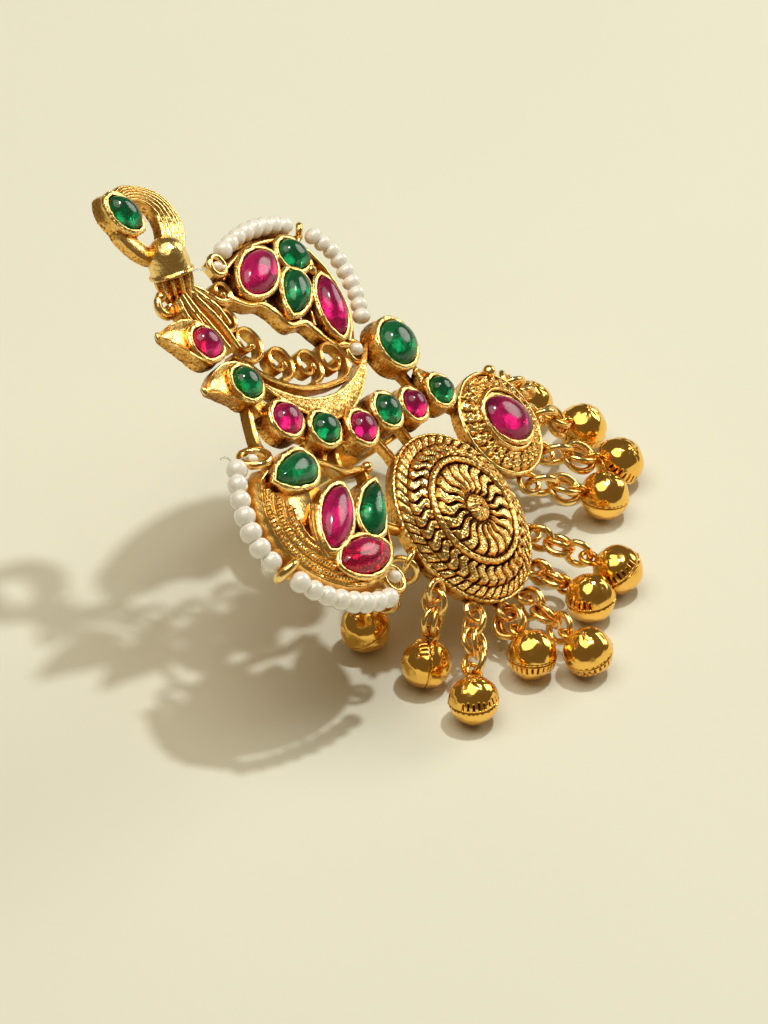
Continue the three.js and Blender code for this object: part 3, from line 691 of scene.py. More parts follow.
# Strips of the casting: width, lowest and highest, then the line.
STRIPS = rows("width low high line", [
    # the fan of the stem, from the bud to the crescent
    (0.4, BACK, -0.6, [(-7.9, 16.2), (-8.1, 15.0), (-7.9, 13.6)]),
    (0.34, BACK, -0.5, [(-7.4, 16.4), (-7.3, 14.8), (-7.0, 13.0), (-6.7, 11.8)]),
    (0.34, BACK, -0.45, [(-7.0, 16.5), (-6.75, 14.8), (-6.2, 12.6), (-5.8, 10.6)]),
    (0.34, BACK, -0.45, [(-6.4, 16.7), (-5.7, 15.2), (-4.9, 13.0), (-4.6, 10.2)]),
    (0.34, BACK, -0.5, [(-6.1, 16.8), (-5.1, 15.6), (-4.1, 14.0), (-3.9, 12.4)]),
    (0.4, BACK, -0.6, [(-5.8, 17.0), (-4.5, 15.9), (-3.2, 14.4), (-1.9, 13.9)]),
    # the links between the border and the lower wing
    (0.6, BACK, -0.45,
     [(-5.2, -0.8), (-3.8, -1.3), (-2.6, -2.2), (-1.3, -3.3), (0.0, -3.6), (1.2, -3.9)]),
    (0.5, BACK, -0.7, [(-1.9, -0.8), (-3.0, -1.7), (-3.8, -1.9)]),
    (0.5, BACK, -0.7, [(-0.6, -0.9), (-1.1, -2.1), (-1.5, -3.3)]),
    (0.55, BACK, -0.6, [(1.1, -4.1), (0.8, -4.9), (0.3, -5.6)]),
    (0.6, BACK, -0.8, [(-7.0, 6.0), (-8.1, 4.2), (-8.9, 2.4), (-8.4, 0.6)]),
    # struts to the discs
    (0.7, BACK, -1.0, [(5.2, -1.9), (5.6, -3.2), (5.9, -4.8)]),
    (0.7, BACK, -1.0, [(8.9, -2.2), (9.1, -3.2), (9.3, -4.4)]),
    (0.8, BACK, -0.9, [(15.8, -2.6), (16.5, -3.3), (17.3, -4.1)]),
    (0.8, BACK, -1.0, [(13.2, 1.6), (13.5, 0.5), (13.9, -0.7)]),
    (0.7, BACK, -1.0, [(0.0, -8.8), (0.8, -9.4), (1.8, -10.0)]),
    (0.7, BACK, -0.9, [(9.2, 5.3), (10.0, 4.9), (11.0, 4.4)]),
    # the backing of the border, and the strip that the scrolls grow from
    (1.7, BACK, -0.85,
     [(-6.8, 7.4), (-4.9, 3.1), (-1.2, 0.7), (3.2, -0.9), (7.4, -0.8), (10.9, -1.6), (15.1, -1.8)]),
    (0.55, BACK, -0.5,
     [(-5.4, 9.9), (-4.6, 8.6), (-3.2, 6.8), (-1.5, 5.4), (0.6, 4.3), (3.2, 3.6), (5.8, 3.3)]),
])
FAN_FOOT = 16  # strips that start above this, which are the stem's fan, carry a rounded ridge


def strips(form):
    """The strips of the openwork, grooved along their faces."""
    for row in STRIPS:
        line = smooth(row["line"], 6 * len(row["line"]))
        form.bar(line, rounded(row["width"], row["low"], row["high"], groove=0.1))
        if row["line"][0][1] > FAN_FOOT:
            crest = np.c_[line, np.full(len(line), row["high"] + 0.04)]
            form.wire(crest, np.linspace(0.27, 0.2, len(line)), 10, recess=0)


def crescent_lines(count):
    """The crescent's upper and lower edges, which share their ends."""
    tips = np.array([(-4.9, 7.2), (10.6, 4.8)])
    share = np.linspace(0, 1, count)[:, None]
    drop = 4 * share * (1 - share)
    chord = tips[0] + share * (tips[1] - tips[0])
    return chord - drop * (0.5, 3.2), chord - drop * (0.78, 5.2)


def crescent(form):
    """The crescent, grained all over, with a plain raised edge all round."""
    steps = 200
    top, low = crescent_lines(steps)
    grid, shade = [], []
    across = np.linspace(0, 1, 34)
    for i in range(steps):
        spots = top[i] + across[:, None] * (low[i] - top[i])
        grain = 0.6 * np.sin(1.76 * i + 1.5 * np.sin(11 * across)) + 0.4 * np.sin(23 * across + 0.9 * i)
        high = -0.62 + 0.16 * np.sin(math.pi * across) + 0.045 * grain
        grid.append(np.c_[spots, high])
        shade.append(np.clip(0.3 - 0.35 * grain, 0, 1))
    form.sheet(grid, shade)
    loop = np.vstack([top, low[::-1][1:-1]])[::-1]
    behind = [np.c_[edge, np.full(steps, BACK)] for edge in (low, top)]
    form.sheet(np.stack(behind, 1), np.ones((steps, 2)))
    form.moulding(loop, [(0.0, BACK), (0.08, -0.8), (0.1, -0.6), (0.0, -0.5), (-0.14, -0.5), (-0.2, -0.62)],
                  recess=[1, 0.5, 0.2, 0, 0, 0.4])


def patch(form, loop, low, high, recess=0.9):
    """A plate with a closed back, behind raised parts."""
    loop = np.asarray(loop, float)
    form.moulding(loop, [(0, low), (0, high - 0.08), (-0.08, high)], lid=True, recess=[1, recess, recess])


def finial(form, casting):
    """The curl at the top: granules round its setting, straps, ridged neck, bud and hook."""
    loop = outline(STONE["finial_emerald"], 44)
    out = -sideways(loop, closed=True)
    for i in range(0, 44, 2):
        form.bead((*(loop[i] + 0.42 * out[i]), -0.1), (0.15, 0.15), around=10, steps=7)
    # the straps, domed across
    line = smooth([(-8.6, 24.4), (-9.1, 23.6), (-8.9, 22.7), (-8.4, 21.6), (-7.8, 20.8), (-7.2, 20.3)], 44)
    widths = 0.9 + 0.3 * np.sin(np.linspace(0, math.pi, 44))
    section = [(-0.6, -1.6), (0.6, -1.6), (0.74, -1.1), (0.68, -0.72), (0.42, -0.52), (0, -0.46),
               (-0.42, -0.52), (-0.68, -0.72), (-0.74, -1.1)]
    form.bar(line, section, widths=widths)
    inside = smooth([(-7.5, 23.3), (-7.7, 22.5), (-7.3, 21.6), (-6.8, 20.8)], 24)
    form.bar(inside, rounded(0.3, -1.5, -0.8, 0.1))
    # neck: ridges side by side from the setting over to the bud
    inner = smooth([(-6.6, 25.5), (-4.9, 24.9), (-4.1, 23.7), (-4.3, 22.3), (-5.6, 20.6)], 60)
    outer = smooth([(-7.9, 26.5), (-6.0, 26.9), (-3.8, 26.1), (-1.9, 24.7), (-1.2, 22.7), (-1.6, 20.9),
                    (-3.6, 18.9)], 60)
    across = np.linspace(0, 1, 12 * casting.neck_ridges + 1)
    ridge = np.abs(np.sin(math.pi * across * casting.neck_ridges)) ** 0.6
    rise = -1.0 + 0.55 * np.sin(math.pi * (0.15 + 0.75 * across)) + 0.15 * ridge
    grid, shade = [], []
    for i in range(60):
        spots = inner[i] + across[:, None] * (outer[i] - inner[i])
        edge = np.r_[spots[:1], spots, spots[-1:]]
        grid.append(np.c_[edge, np.r_[-1.6, rise, -1.6]])
        shade.append(np.r_[0.8, np.clip(0.7 - 1.3 * ridge, 0, 1), 0.8])
    form.sheet(grid, shade, wrap=True, ends=True)
    # bud: a smooth bell-shaped cap with a rim, over a fluted cup that droops behind the plate
    axis = Vector((0.03, -0.93, -0.365)).normalized()
    middle = Vector((-6.43, 19.76, -0.2))
    arc = np.linspace(0.03, math.pi / 2, 18)
    cap = [(1.72 * math.sin(a), -1.75 * math.cos(a)) for a in arc]
    cap += [(1.74, 0.4), (1.75, 0.9), (1.78, 1.15), (1.88, 1.24), (1.96, 1.34), (1.97, 1.46), (1.88, 1.55),
            (1.62, 1.6)]
    form.turned(middle, axis, cap, 56, recess=[0] * 21 + [0.6, 0.1, 0, 0, 0.5])

    def flute(turn):
        return 1 - 0.3 * np.abs(np.cos(6 * turn)) ** 2.5

    cup = [(1.6, 1.45), (1.7, 1.8), (1.66, 2.3), (1.5, 3.0), (1.24, 3.7), (0.95, 4.3), (0.62, 4.85),
           (0.3, 5.15), (0, 5.2)]
    form.turned(middle, axis, cup, 110, flute, recess=[0.8, 0.3, 0.2, 0.2, 0.25, 0.3, 0.4, 0.5, 0.5])
    form.bead(middle + 1.7 * axis + Vector((1.85, 0.1, 0.3)), (0.46, 0.46))
    # hook
    curl = spiral(-8.75, 16.55, 1.0, -20, -245, 40, 0.35)
    form.wire(np.c_[curl, np.linspace(-1.75, -1.25, 40)], np.linspace(0.5, 0.34, 40), 12, recess=0.1)
    form.bead((*curl[-1], -1.2), (0.5, 0.46))


def upper_wing(form):
    """The upper wing: a deep wavy inner edge, the outer rim, its backing, and the ball between the stones."""
    wave = smooth([(-1.9, 14.4), (0.0, 12.9), (1.6, 12.3), (2.6, 11.1), (3.3, 9.6), (4.4, 9.3), (5.4, 8.9),
                   (6.2, 7.4), (7.0, 6.3), (8.6, 5.6)], 70)
    form.bar(wave, rounded(0.7, BACK, -0.5, 0.16))
    rim = smooth(UPPER_EDGE, 80)
    form.bar(rim, rounded(0.42, BACK, -0.25, 0.12))
    form.bar(rim - 0.45 * sideways(rim), rounded(0.5, BACK, -0.85, 0.12))
    form.bar(rim + 0.8 * sideways(rim), rounded(1.2, BACK, -1.42, 0.12), recess=0.1)
    inner = [(8.2, 8.2), (7.4, 10.2), (5.4, 10.6), (4.2, 12.9), (1.4, 13.6), (-1.2, 14.8)]
    patch(form, (UPPER_EDGE + inner)[::-1], BACK, -1.25)
    form.bead((9.2, 12.5, -0.2), (0.5, 0.5))
    form.bead((4.6, 13.0, -0.35), (0.3, 0.3))
    form.bar(smooth([(4.3, 9.6), (4.1, 10.4), (4.6, 11.2)], 10), rounded(0.4, BACK, -0.7))
    form.bar(smooth([(6.4, 8.4), (6.9, 9.4), (7.6, 10.4)], 10), rounded(0.4, BACK, -0.7))


def lower_wing(form, casting):
    """The lower wing: a flat outer wall, beaded ridges inside its rim and a polished dish within them."""
    count, ridge_steps = 110, 300
    rim = smooth(LOWER_EDGE, count)
    inward = sideways(rim)
    wall = [(-0.5, BACK), (0.2, BACK), (0.22, -0.62), (0.2, -0.36), (0.12, -0.27), (0.02, -0.3), (-0.08, -0.5),
            (-0.34, -1.1), (-0.46, -1.6)]
    form.bar(rim, wall, recess=np.array([0.6, 0.1, 0, 0, 0, 0, 0.3, 0.9, 1]))
    part = slice(8, 106)
    narrow = 1 - 0.5 * np.clip(np.linspace(-0.25, 1, count), 0, 1) ** 1.2
    step = 4.2 / casting.wing_ridges
    for k in range(casting.wing_ridges):
        far = (0.42 + step * k) * narrow
        line = smooth((rim + far[:, None] * inward)[part][::6], ridge_steps)
        beaded = 0.5 + 0.5 * np.sin(np.arange(ridge_steps) * 1.15) if k % 2 else np.zeros(ridge_steps)
        form.wire(np.c_[line, np.full(ridge_steps, -0.46)], 0.19 + 0.07 * beaded, 8,
                  recess=per_row((0.3 if k % 2 else 0.0) * (1 - beaded), 8))
    floor = (rim + 0.1 * inward)[::-1]
    mouth = [(-10.0, -0.4), (-6.4, -2.2), (-4.4, -4.4), (-3.4, -6.8)]
    patch(form, np.vstack([floor, mouth])[::-1], BACK, -0.8, 0.95)
    # the dish
    outer = smooth([(-11.3, -1.6), (-11.4, -3.2), (-11.0, -5.0), (-10.2, -6.8), (-9.2, -8.2)], 40)
    inner = smooth([(-7.0, -2.3), (-7.6, -3.4), (-8.2, -4.8), (-8.3, -6.2), (-8.2, -7.3)], 40)
    share = np.linspace(0, 1, 14)
    grid = [np.c_[outer[i] + share[:, None] * (inner[i] - outer[i]), -0.42 - 0.36 * np.sin(math.pi * share)]
            for i in range(40)]
    form.sheet(grid, np.full((40, 14), 0.0))
    # a second lip beside the first ruby, and the tongue between the stones
    loop = outline(STONE["lower_wing_ruby_1"], 60)
    for far, high in ((0.66, -0.2), (0.92, -0.34)):
        lip = (loop - far * sideways(loop, closed=True))[16:36]
        form.wire(np.c_[lip, np.full(20, high)], 0.17, 8, recess=0.05)
    form.bead((1.2, -3.9, -0.5), (0.5, 0.5))


LOOPS = rows("centre through radius wire", [
    ((-0.95, 16.95, -0.5), (0, 0, 1), 0.85, 0.3),
    ((9.2, 4.8, -1.0), (0, 0, 1), 0.95, 0.28),
    ((-10.35, 1.8, -1.05), (-0.11, 0.725, 0.68), 1.22, 0.36),
    ((-3.1, -12.9, -1.3), (0, 0, 1), 1.1, 0.28),
    ((11.3, 15.8, -0.6), (0.506, -0.547, 0.667), 0.55, 0.3),
    ((-14.85, -7.5, -1.2), (0.12, -0.98, 0.16), 0.96, 0.44),
])


def loops(form):
    """Rings cast on the wings' ends, for the pearl strands, and on the discs, for the chains."""
    for row in LOOPS:
        form.ring(row["centre"], row["through"], row["radius"], row["wire"], 40, 12, recess=0.12)
    form.bar([(9.7, 14.8), (10.9, 15.5)], rounded(0.5, -1.3, -0.4))
    back = PLATE.to_3x3().inverted()
    for row in BELLS:
        start, normal = chain_start(row)
        form.ring(PLATE.inverted() @ start, back @ normal, LOOP["radius"], LOOP["wire"], 32, 12, recess=0.15)


def chain_start(row):
    """Where a bell's chain leaves its disc, and the way through that loop, in the ring's own place."""
    disc, angle = row["disc"], math.radians(row["angle"])
    far = disc["radius"] + LOOP["radius"] - LOOP["bite"]
    x, y = disc["x"] + far * math.cos(angle), disc["y"] + far * math.sin(angle)
    start = PLATE @ Vector((x, y, LOOP["depth"]))
    way = (bell_centre(row, BELL_RADIUS) - start).normalized()
    up = PLATE.to_3x3() @ Vector((0, 0, 1))
    return start, (up - LOOP["lean"] * up.dot(way) * way).normalized()


def bell_centre(row, radius):
    """The middle of a bell that lies on the floor."""
    return UPRIGHT @ Vector((row["x"], row["y"], radius))


# ---- discs


def relief(form, disc, height, radii, around, foot):
    """A disc whose face follows height(radius, angle) -> (height above its rim, recess)."""
    turn = np.linspace(0, 2 * math.pi, around, endpoint=False)
    far, angle = np.meshgrid(radii, turn, indexing="ij")
    high, shade = height(far, angle)
    grid = np.stack([disc["x"] + far * np.cos(angle), disc["y"] + far * np.sin(angle), disc["rim"] + high], 2)
    edge = []
    for inset, z in foot:
        edge.append(np.stack([disc["x"] + (radii[0] - inset) * np.cos(turn),
                              disc["y"] + (radii[0] - inset) * np.sin(turn), np.full(around, z)], 1))
    form.sheet(np.vstack([np.array(edge), grid]),
               np.vstack([np.full((len(foot), around), 0.7), shade]), wrap=True, ends=True)


def hump(value, low, high):
    """0 at both limits and 1 half way, and 0 outside them."""
    share = np.clip((value - low) / (high - low), 0, 1)
    return np.sin(math.pi * share)


def leaves_round(count, angle, far, sway, gap):
    """Leaves round a disc: how raised, from 0 in the gaps to 1 on top, at angles swayed by some radians."""
    share = np.mod(count * (angle + sway) / (2 * math.pi), 1)
    from_gap = np.minimum(share, 1 - share) * 2 * math.pi * far / count
    top = np.clip(from_gap / gap - 0.6, 0, 1) ** 0.7
    crown = np.sin(math.pi * share) ** 0.5
    vein = np.exp(-((share - 0.68) / 0.06) ** 2)
    return top * (0.86 + 0.14 * crown - 0.08 * vein), top


# Rings of ornament on the large disc: their inner and outer radii.
ROPE, WAVES, PLAIN, FLAMES = (6.62, 7.62), (5.06, 6.66), (4.45, 5.06), (1.35, 4.4)


def part_way(far, band):
    """How far a radius lies through a band, from 0 to 1."""
    return np.clip((far - band[0]) / (band[1] - band[0]), 0, 1)


def sunburst_height(disc):
    def height(far, angle):
        base = np.interp(far, [0, 1.2, 1.6, 4.2, 4.9, 5.1, 6.45, 7.5, 7.86],
                         [2.0, 1.95, 1.75, 1.45, 1.4, 1.25, 0.5, 0.15, 0.0])
        rim = hump(far, 7.62, 7.95) ** 0.6
        # short slanting strokes in the outer band
        band = np.clip(hump(far, *ROPE) * 2.2, 0, 1)
        stroke, on_stroke = leaves_round(disc.hatch, angle, far, 0.13 * (far - 7.1), 0.12)
        # wavy leaves, and the plain ring inside them
        ring = np.clip(hump(far, *WAVES) * 2.6, 0, 1)
        along = part_way(far, WAVES)
        sway = 0.06 * np.sin(2 * math.pi * along) + 0.05 * along
        wavy, on_wavy = leaves_round(disc.waves, angle, far, sway, 0.15)
        plain = hump(far, *PLAIN) ** 0.5
        # wedge leaves round the boss
        inner = np.clip(hump(far, *FLAMES) * 3, 0, 1)
        along = part_way(far, FLAMES)
        sway = 0.13 * np.sin(2.2 * math.pi * along) * (1 - 0.6 * along) + 0.1 * along
        wedge, on_wedge = leaves_round(disc.flames, angle, far, sway, 0.14)
        boss = np.clip(1 - (far / 1.25) ** 2, 0, 1)
        knobs = np.sin(2.5 * angle + 5 * far) * np.sin(3.5 * angle - 6 * far + 1)
        high = (base + 0.2 * rim + 0.28 * band * stroke + 0.44 * ring * wavy + 0.44 * plain
                + 0.48 * inner * wedge + 0.6 * np.sqrt(boss) + 0.2 * boss * knobs)
        lit = (rim + band * on_stroke + ring * on_wavy + plain + inner * on_wedge
               + boss ** 0.4 * (1.1 + 0.5 * knobs))
        grain = 0.035 * np.sin(23 * angle * far / 2) * np.sin(19 * far + 3 * np.sin(5 * angle))
        return high + grain, np.clip(1.1 - 1.15 * lit, 0, 1)
    return height


def flower_height(disc):
    def height(far, angle):
        base = np.interp(far, [0, 1.6, 1.9, 2.5, 2.9, 3.4, 4.4, 4.85],
                         [0.1, 0.1, 0.95, 0.95, 0.85, 0.5, 0.08, 0.0])
        rim = hump(far, 4.5, 4.9) ** 0.6
        plain = hump(far, 2.62, 3.02) ** 0.6
        band = np.clip(hump(far, 2.98, 4.52) * 2.4, 0, 1)
        petal, on_petal = leaves_round(disc.petals, angle, far, 0.05 * far, 0.14)
        seed = np.clip(np.sin(disc.petals * 1.5 * angle + 1.0) * np.sin(9 * (far - 3.0)), 0, 1) ** 0.7
        high = base + 0.2 * rim + 0.3 * plain + band * (0.22 * petal + 0.2 * seed)
        return high, np.clip(0.85 - rim - plain - band * (0.8 * on_petal + 0.4 * seed), 0, 1)
    return height


# ---- hanging pieces


def chain_links(form, row, wire, radius):
    """Rings from the disc's loop to the bell's eye, with a spare one; returns the way through the eye."""
    start, normal = chain_start(row)
    centre = bell_centre(row, radius)
    axis = (start - centre).normalized()
    gap = centre + axis * (radius + EYE["reach"]) - start
    along = gap.normalized()
    count = max(1, round(gap.length / JUMP["pitch"]))
    pitch = (gap.length + (count - 1) * JUMP["bite"]) / count
    size = pitch / 2 + (JUMP["ease"] if count > 1 else 0.0)
    through = along.cross(normal).normalized()
    for i in range(count):
        middle = start + along * (pitch / 2 + i * (pitch - JUMP["bite"]))
        form.ring(middle, through, size, wire, recess=0.12)
        through = along.cross(through).normalized()
        if i == count // 2:
            aside = Matrix.Rotation(math.radians(SPARE["turn"]), 3, along) @ through
            form.ring(middle + SPARE["aside"] * through, aside, SPARE["size"] * size, SPARE["wire"] * wire,
                      recess=0.2)
    return through


def bell_body(form, row, hanging):
    """A pressed bell but for its eye: two cups, a crimped seam with a ragged edge, and slots beside it.

    Returns the bell's middle and the way from there to the start of its chain.
    """
    radius = hanging.bell_radius / MM
    start, _ = chain_start(row)
    centre = bell_centre(row, radius)
    axis = (start - centre).normalized()
    seam = (Vector(row["seam"]) @ SEAM_WAYS).normalized()
    latitude = np.radians(np.r_[np.linspace(-89.6, -34, 16), np.linspace(-32, -7, 14), np.linspace(-6, 6, 17),
                                np.linspace(8, 30, 8), np.linspace(34, 89.6, 16)])
    longitude = np.linspace(0, 2 * math.pi, 210, endpoint=False)
    lat, lon = np.meshgrid(latitude, longitude, indexing="ij")
    degrees = np.degrees(lat)
    ragged = 0.55 + 0.45 * np.sin(31 * lon + 1.3 * np.sin(7 * lon))
    flange = np.exp(-((degrees - 0.9) / 1.3) ** 2) * ragged
    groove = np.exp(-((degrees + 3.6) / 1.6) ** 2)
    slot = np.exp(-(np.abs(np.mod(lon * hanging.slots / (2 * math.pi) + 0.5, 1) - 0.5) / 0.17) ** 4)
    length = 27 + 5 * np.sin(3 * lon) * np.sin(7 * lon)
    slot = slot * np.clip((degrees + length) / 3, 0, 1) * np.clip((-7 - degrees) / 2, 0, 1)
    slot = slot * (np.sin(lon + row["number"]) > -0.45)
    dent = 0.018 * np.sin(3 * lon + 2 * lat + row["number"]) * np.cos(4 * lat)
    dent = dent + 0.008 * np.sin(9 * lon + 2 * np.sin(5 * lat)) * np.cos(8 * lat)
    cups = 0.962  # their share of the outside radius
    far = radius * (cups + dent + 0.03 * flange - 0.03 * groove - 0.07 * slot)
    # Painted shade: the shallow slots are coloured dark for the dark insides of open slots, and the seam's
    # groove and ragged flange are darkened too.
    shade = np.clip(0.85 * slot + 0.8 * groove + 0.25 * flange, 0, 1)
    first = seam.orthogonal().normalized()
    second = seam.cross(first)
    ways = np.array([first, second, seam])
    local = np.stack([np.cos(lat) * np.cos(lon), np.cos(lat) * np.sin(lon), np.sin(lat)], 2) * far[..., None]
    form.sheet(local @ ways + np.array(centre), shade, wrap=True)
    return centre, axis


# ---- stones


FLOWER_STONE = 1.07  # how much wider the flower's ruby is than its setting's opening


def shrunk(stone, count, widen=1.0):
    """A function that gives a stone's outline at a height, shrunk to some share of its size."""
    middle = np.array((stone["x"], stone["y"]))
    loop = middle + (outline(stone, count) - middle) * widen

    def ring(share, high):
        return np.c_[middle + share * (loop - middle), np.full(count, high)]
    return ring


def cabochon(stone):
    """A stone: a girdle that sits in its setting, and a domed top."""
    ring = shrunk(stone, 64, FLOWER_STONE if stone["node"] == "flower_ruby" else 1.0)
    low, girdle = stone["rim"] - 0.6, stone["rim"] - 0.08
    tall = 1.25 if stone["wide"] > 1.8 else 1.05
    arc = np.linspace(0, math.pi / 2, 22)[:-1]
    profile = [(0.001, low), (0.6, low), (0.97, low), (0.995, low + 0.1), (0.995, stone["rim"] - 0.12)]
    profile += [(0.985 * math.cos(a) ** 0.85, girdle + tall * math.sin(a)) for a in arc]
    profile.append((0.001, girdle + tall))
    form = Form()
    form.sheet([ring(share, high) for share, high in profile], wrap=True)
    return form


def foil_bowl(form, stone):
    """The foil inside a stone, bowl-shaped and open at the top."""
    rows_in = 10
    ring = shrunk(stone, 40)
    low = stone["rim"] - 0.58  # just above the stone's flat back
    grid = [ring(share, low + 0.5 * share ** 3) for share in np.linspace(0.97, 0.02, rows_in)]
    form.sheet(grid, np.zeros((rows_in, 40)), wrap=True)


# ---- operators


class RING_OT_stones(bpy.types.Operator):
    """Cabochons, each over its bright foil"""

    bl_idname = "ring.stones"
    bl_label = "Stones"

    def execute(self, context):
        finish = context.scene.ring_finish
        gems = {"ruby": gem("ruby_glass", finish.ruby, [c * 0.55 for c in finish.ruby]),
                "emerald": gem("emerald_glass", finish.emerald, [c * 0.5 for c in finish.emerald])}
        for stone in STONES:
            piece = cabochon(stone).mesh(stone["node"] + "_cabochon", gems[stone["gem"]], crease=60)
            settle(piece, stone["gem"], stone["node"])
        beds = {"ruby": foil("pink_foil", (0.85, 0.5, 0.55)), "emerald": foil("green_foil", (0.6, 0.9, 0.66))}
        for kind, shine in beds.items():
            form = Form()
            for stone in STONES:
                if stone["gem"] == kind:
                    foil_bowl(form, stone)
            settle(form.mesh(kind + "_foil", shine), kind)
        return {"FINISHED"}


class RING_OT_settings(bpy.types.Operator):
    """The settings of all the stones"""

    bl_idname = "ring.settings"
    bl_label = "Settings"

    def execute(self, context):
        casting = context.scene.ring_casting
        form = Form()
        for stone in STONES:
            setting(form, stone, casting)
        cast(context, form, "settings", uneven=0.016, amount=1.0, polish=0.16, pits=0.8)
        return {"FINISHED"}


class RING_OT_leaves(bpy.types.Operator):
    """The two long leaves, and the small one that points at the large stone"""

    bl_idname = "ring.leaves"
    bl_label = "Leaves"

    def execute(self, context):
        form = Form()
        leaf(form, STONE["leaf_ruby"], (-13.3, 14.5), -0.7)
        leaf(form, STONE["leaf_emerald"], (-12.0, 8.65), -0.7)
        leaf(form, STONE["border_emerald_6"], (13.9, 0.7), 0.4, 1.5)
        cast(context, form, "leaves", amount=0.9, polish=0.16, pits=0.7)
        return {"FINISHED"}


class RING_OT_finial(bpy.types.Operator):
    """The curl at the top, with its ridged neck, bud and hook"""

    bl_idname = "ring.finial"
    bl_label = "Finial"

    def execute(self, context):
        form = Form()
        finial(form, context.scene.ring_casting)
        cast(context, form, "finial", amount=0.85, polish=0.15, pits=1.0)
        return {"FINISHED"}


class RING_OT_scrolls(bpy.types.Operator):
    """The open scrolls, the fan of the stem and the struts of the openwork"""

    bl_idname = "ring.scrolls"
    bl_label = "Scrolls and struts"

    def execute(self, context):
        form = Form()
        scrolls(form)
        strips(form)
        cast(context, form, "scrolls", amount=0.75, polish=0.15)
        return {"FINISHED"}


class RING_OT_crescent(bpy.types.Operator):
    """The grained crescent above the row of small stones"""

    bl_idname = "ring.crescent"
    bl_label = "Crescent"

    def execute(self, context):
        form = Form()
        crescent(form)
        cast(context, form, "crescent", amount=0.8, polish=0.22, pits=1.2)
        return {"FINISHED"}


class RING_OT_wings(bpy.types.Operator):
    """The two wings, and the loops for the pearls and the chains"""

    bl_idname = "ring.wings"
    bl_label = "Wings"

    def execute(self, context):
        form = Form()
        upper_wing(form)
        cast(context, form, "upper_wing", amount=1.0, polish=0.14)
        form = Form()
        lower_wing(form, context.scene.ring_casting)
        cast(context, form, "lower_wing", amount=0.62, polish=0.14)
        form = Form()
        loops(form)
        cast(context, form, "loops", amount=0.6, polish=0.12)
        return {"FINISHED"}


class RING_OT_discs(bpy.types.Operator):
    """The large and the small disc, chased in rings"""

    bl_idname = "ring.discs"
    bl_label = "Discs"

    def execute(self, context):
        disc = context.scene.ring_discs
        foot = [(4.5, BACK), (0.3, BACK), (0.16, BACK + 0.02), (0.1, -1.5), (0.0, -1.05)]
        form = Form()
        radii = np.r_[np.linspace(SUNBURST["radius"], 1.6, 118), np.linspace(1.55, 0.02, 34)]
        relief(form, SUNBURST, sunburst_height(disc), radii, 460, foot)
        cast(context, form, "sunburst", amount=0.95, polish=0.17, relief=0.015)
        form = Form()
        radii = np.r_[np.linspace(FLOWER["radius"], 1.5, 70), 1.2, 0.05]
        relief(form, FLOWER, flower_height(disc), radii, 300, foot)
        form.bead((22.75, -2.75, -0.45), (0.62, 0.56))
        cast(context, form, "flower", amount=0.95, polish=0.17, relief=0.015)
        return {"FINISHED"}


class RING_OT_shank(bpy.types.Operator):
    """The plain round shank behind the ornament"""

    bl_idname = "ring.shank"
    bl_label = "Shank"

    def execute(self, context):
        form = Form()
        half, outer, inner = SHANK["width"] / 2, SHANK["outer"], SHANK["inner"]
        soft = 0.22
        side = [(inner, -half + soft), (inner + 0.4 * soft, -half + 0.2 * soft), (inner + soft, -half),
                (outer - soft, -half), (outer - 0.3 * soft, -half + 0.3 * soft), (outer, -half + soft)]
        profile = side + [(far, -along) for far, along in reversed(side)] + side[:1]
        centre = (SHANK["x"], SHANK["y"], SHANK["top"] - outer)
        form.turned(centre, (0, 1, 0), profile, 120, recess=[0.1] * len(profile))
        cast(context, form, "shank", amount=0.4, polish=0.14, pits=0.2)
        return {"FINISHED"}


class RING_OT_pearls(bpy.types.Operator):
    """The strands of seed pearls, and the pearls in their end loops"""

    bl_idname = "ring.pearls"
    bl_label = "Pearls"

    def execute(self, context):
        skin = nacre("pearl_skin", context.scene.ring_finish.pearl)
        for row in STRANDS:
            form = Form()
            spots = smooth(row["line"], row["count"])
            ways = np.gradient(spots, axis=0)
            step = np.linalg.norm(spots[1] - spots[0])
            for i, (spot, way) in enumerate(zip(spots, ways)):
                uneven = 1 + 0.05 * math.sin(5.1 * i + len(row["node"]))
                across, along = row["radius"] * uneven * 0.98, 0.56 * step
                profile = [(across * (0.06 + 0.94 * math.sin(a) ** 0.8), -along * math.cos(a))
                           for a in np.linspace(0.0, math.pi, 18)]
                form.turned((*spot, row["z"]), (*way, 0.04 * math.sin(3 * i)), profile, 26)
            settle(form.mesh(row["node"] + "_strung", skin, crease=75), "pearl", row["node"])
        form = Form()
        for *spot, radius in END_PEARLS:
            form.bead(spot, (radius, 0.85 * radius), (0.6, 0.5, 0.4), 26, 18)
        settle(form.mesh("end_pearls", skin, crease=75), "pearl")
        return {"FINISHED"}


class RING_OT_thread(bpy.types.Operator):
    """The clear thread of the strands, with its short loose ends"""

    bl_idname = "ring.thread"
    bl_label = "Thread"

    def execute(self, context):
        clear, tree, shader = surface("clear_thread")
        tree.links.new(math_node(tree, "MULTIPLY", noise(tree, 1500, 2), 0.3), shader.inputs["Roughness"])
        fill(shader, {"Base Color": (0.9, 0.9, 0.86, 1), "IOR": 1.4, "Transmission Weight": 0.75})
        form = Form()
        for line in THREAD_ENDS:
            form.wire(smooth(line, 24), 0.09, 8, recess=0)
        for row in STRANDS:
            line = smooth(row["line"], 60)
            form.wire(np.c_[line, np.full(60, row["z"])], 0.08, 8, recess=0)
        settle(form.mesh("pearl_thread", clear), "pearl")
        return {"FINISHED"}


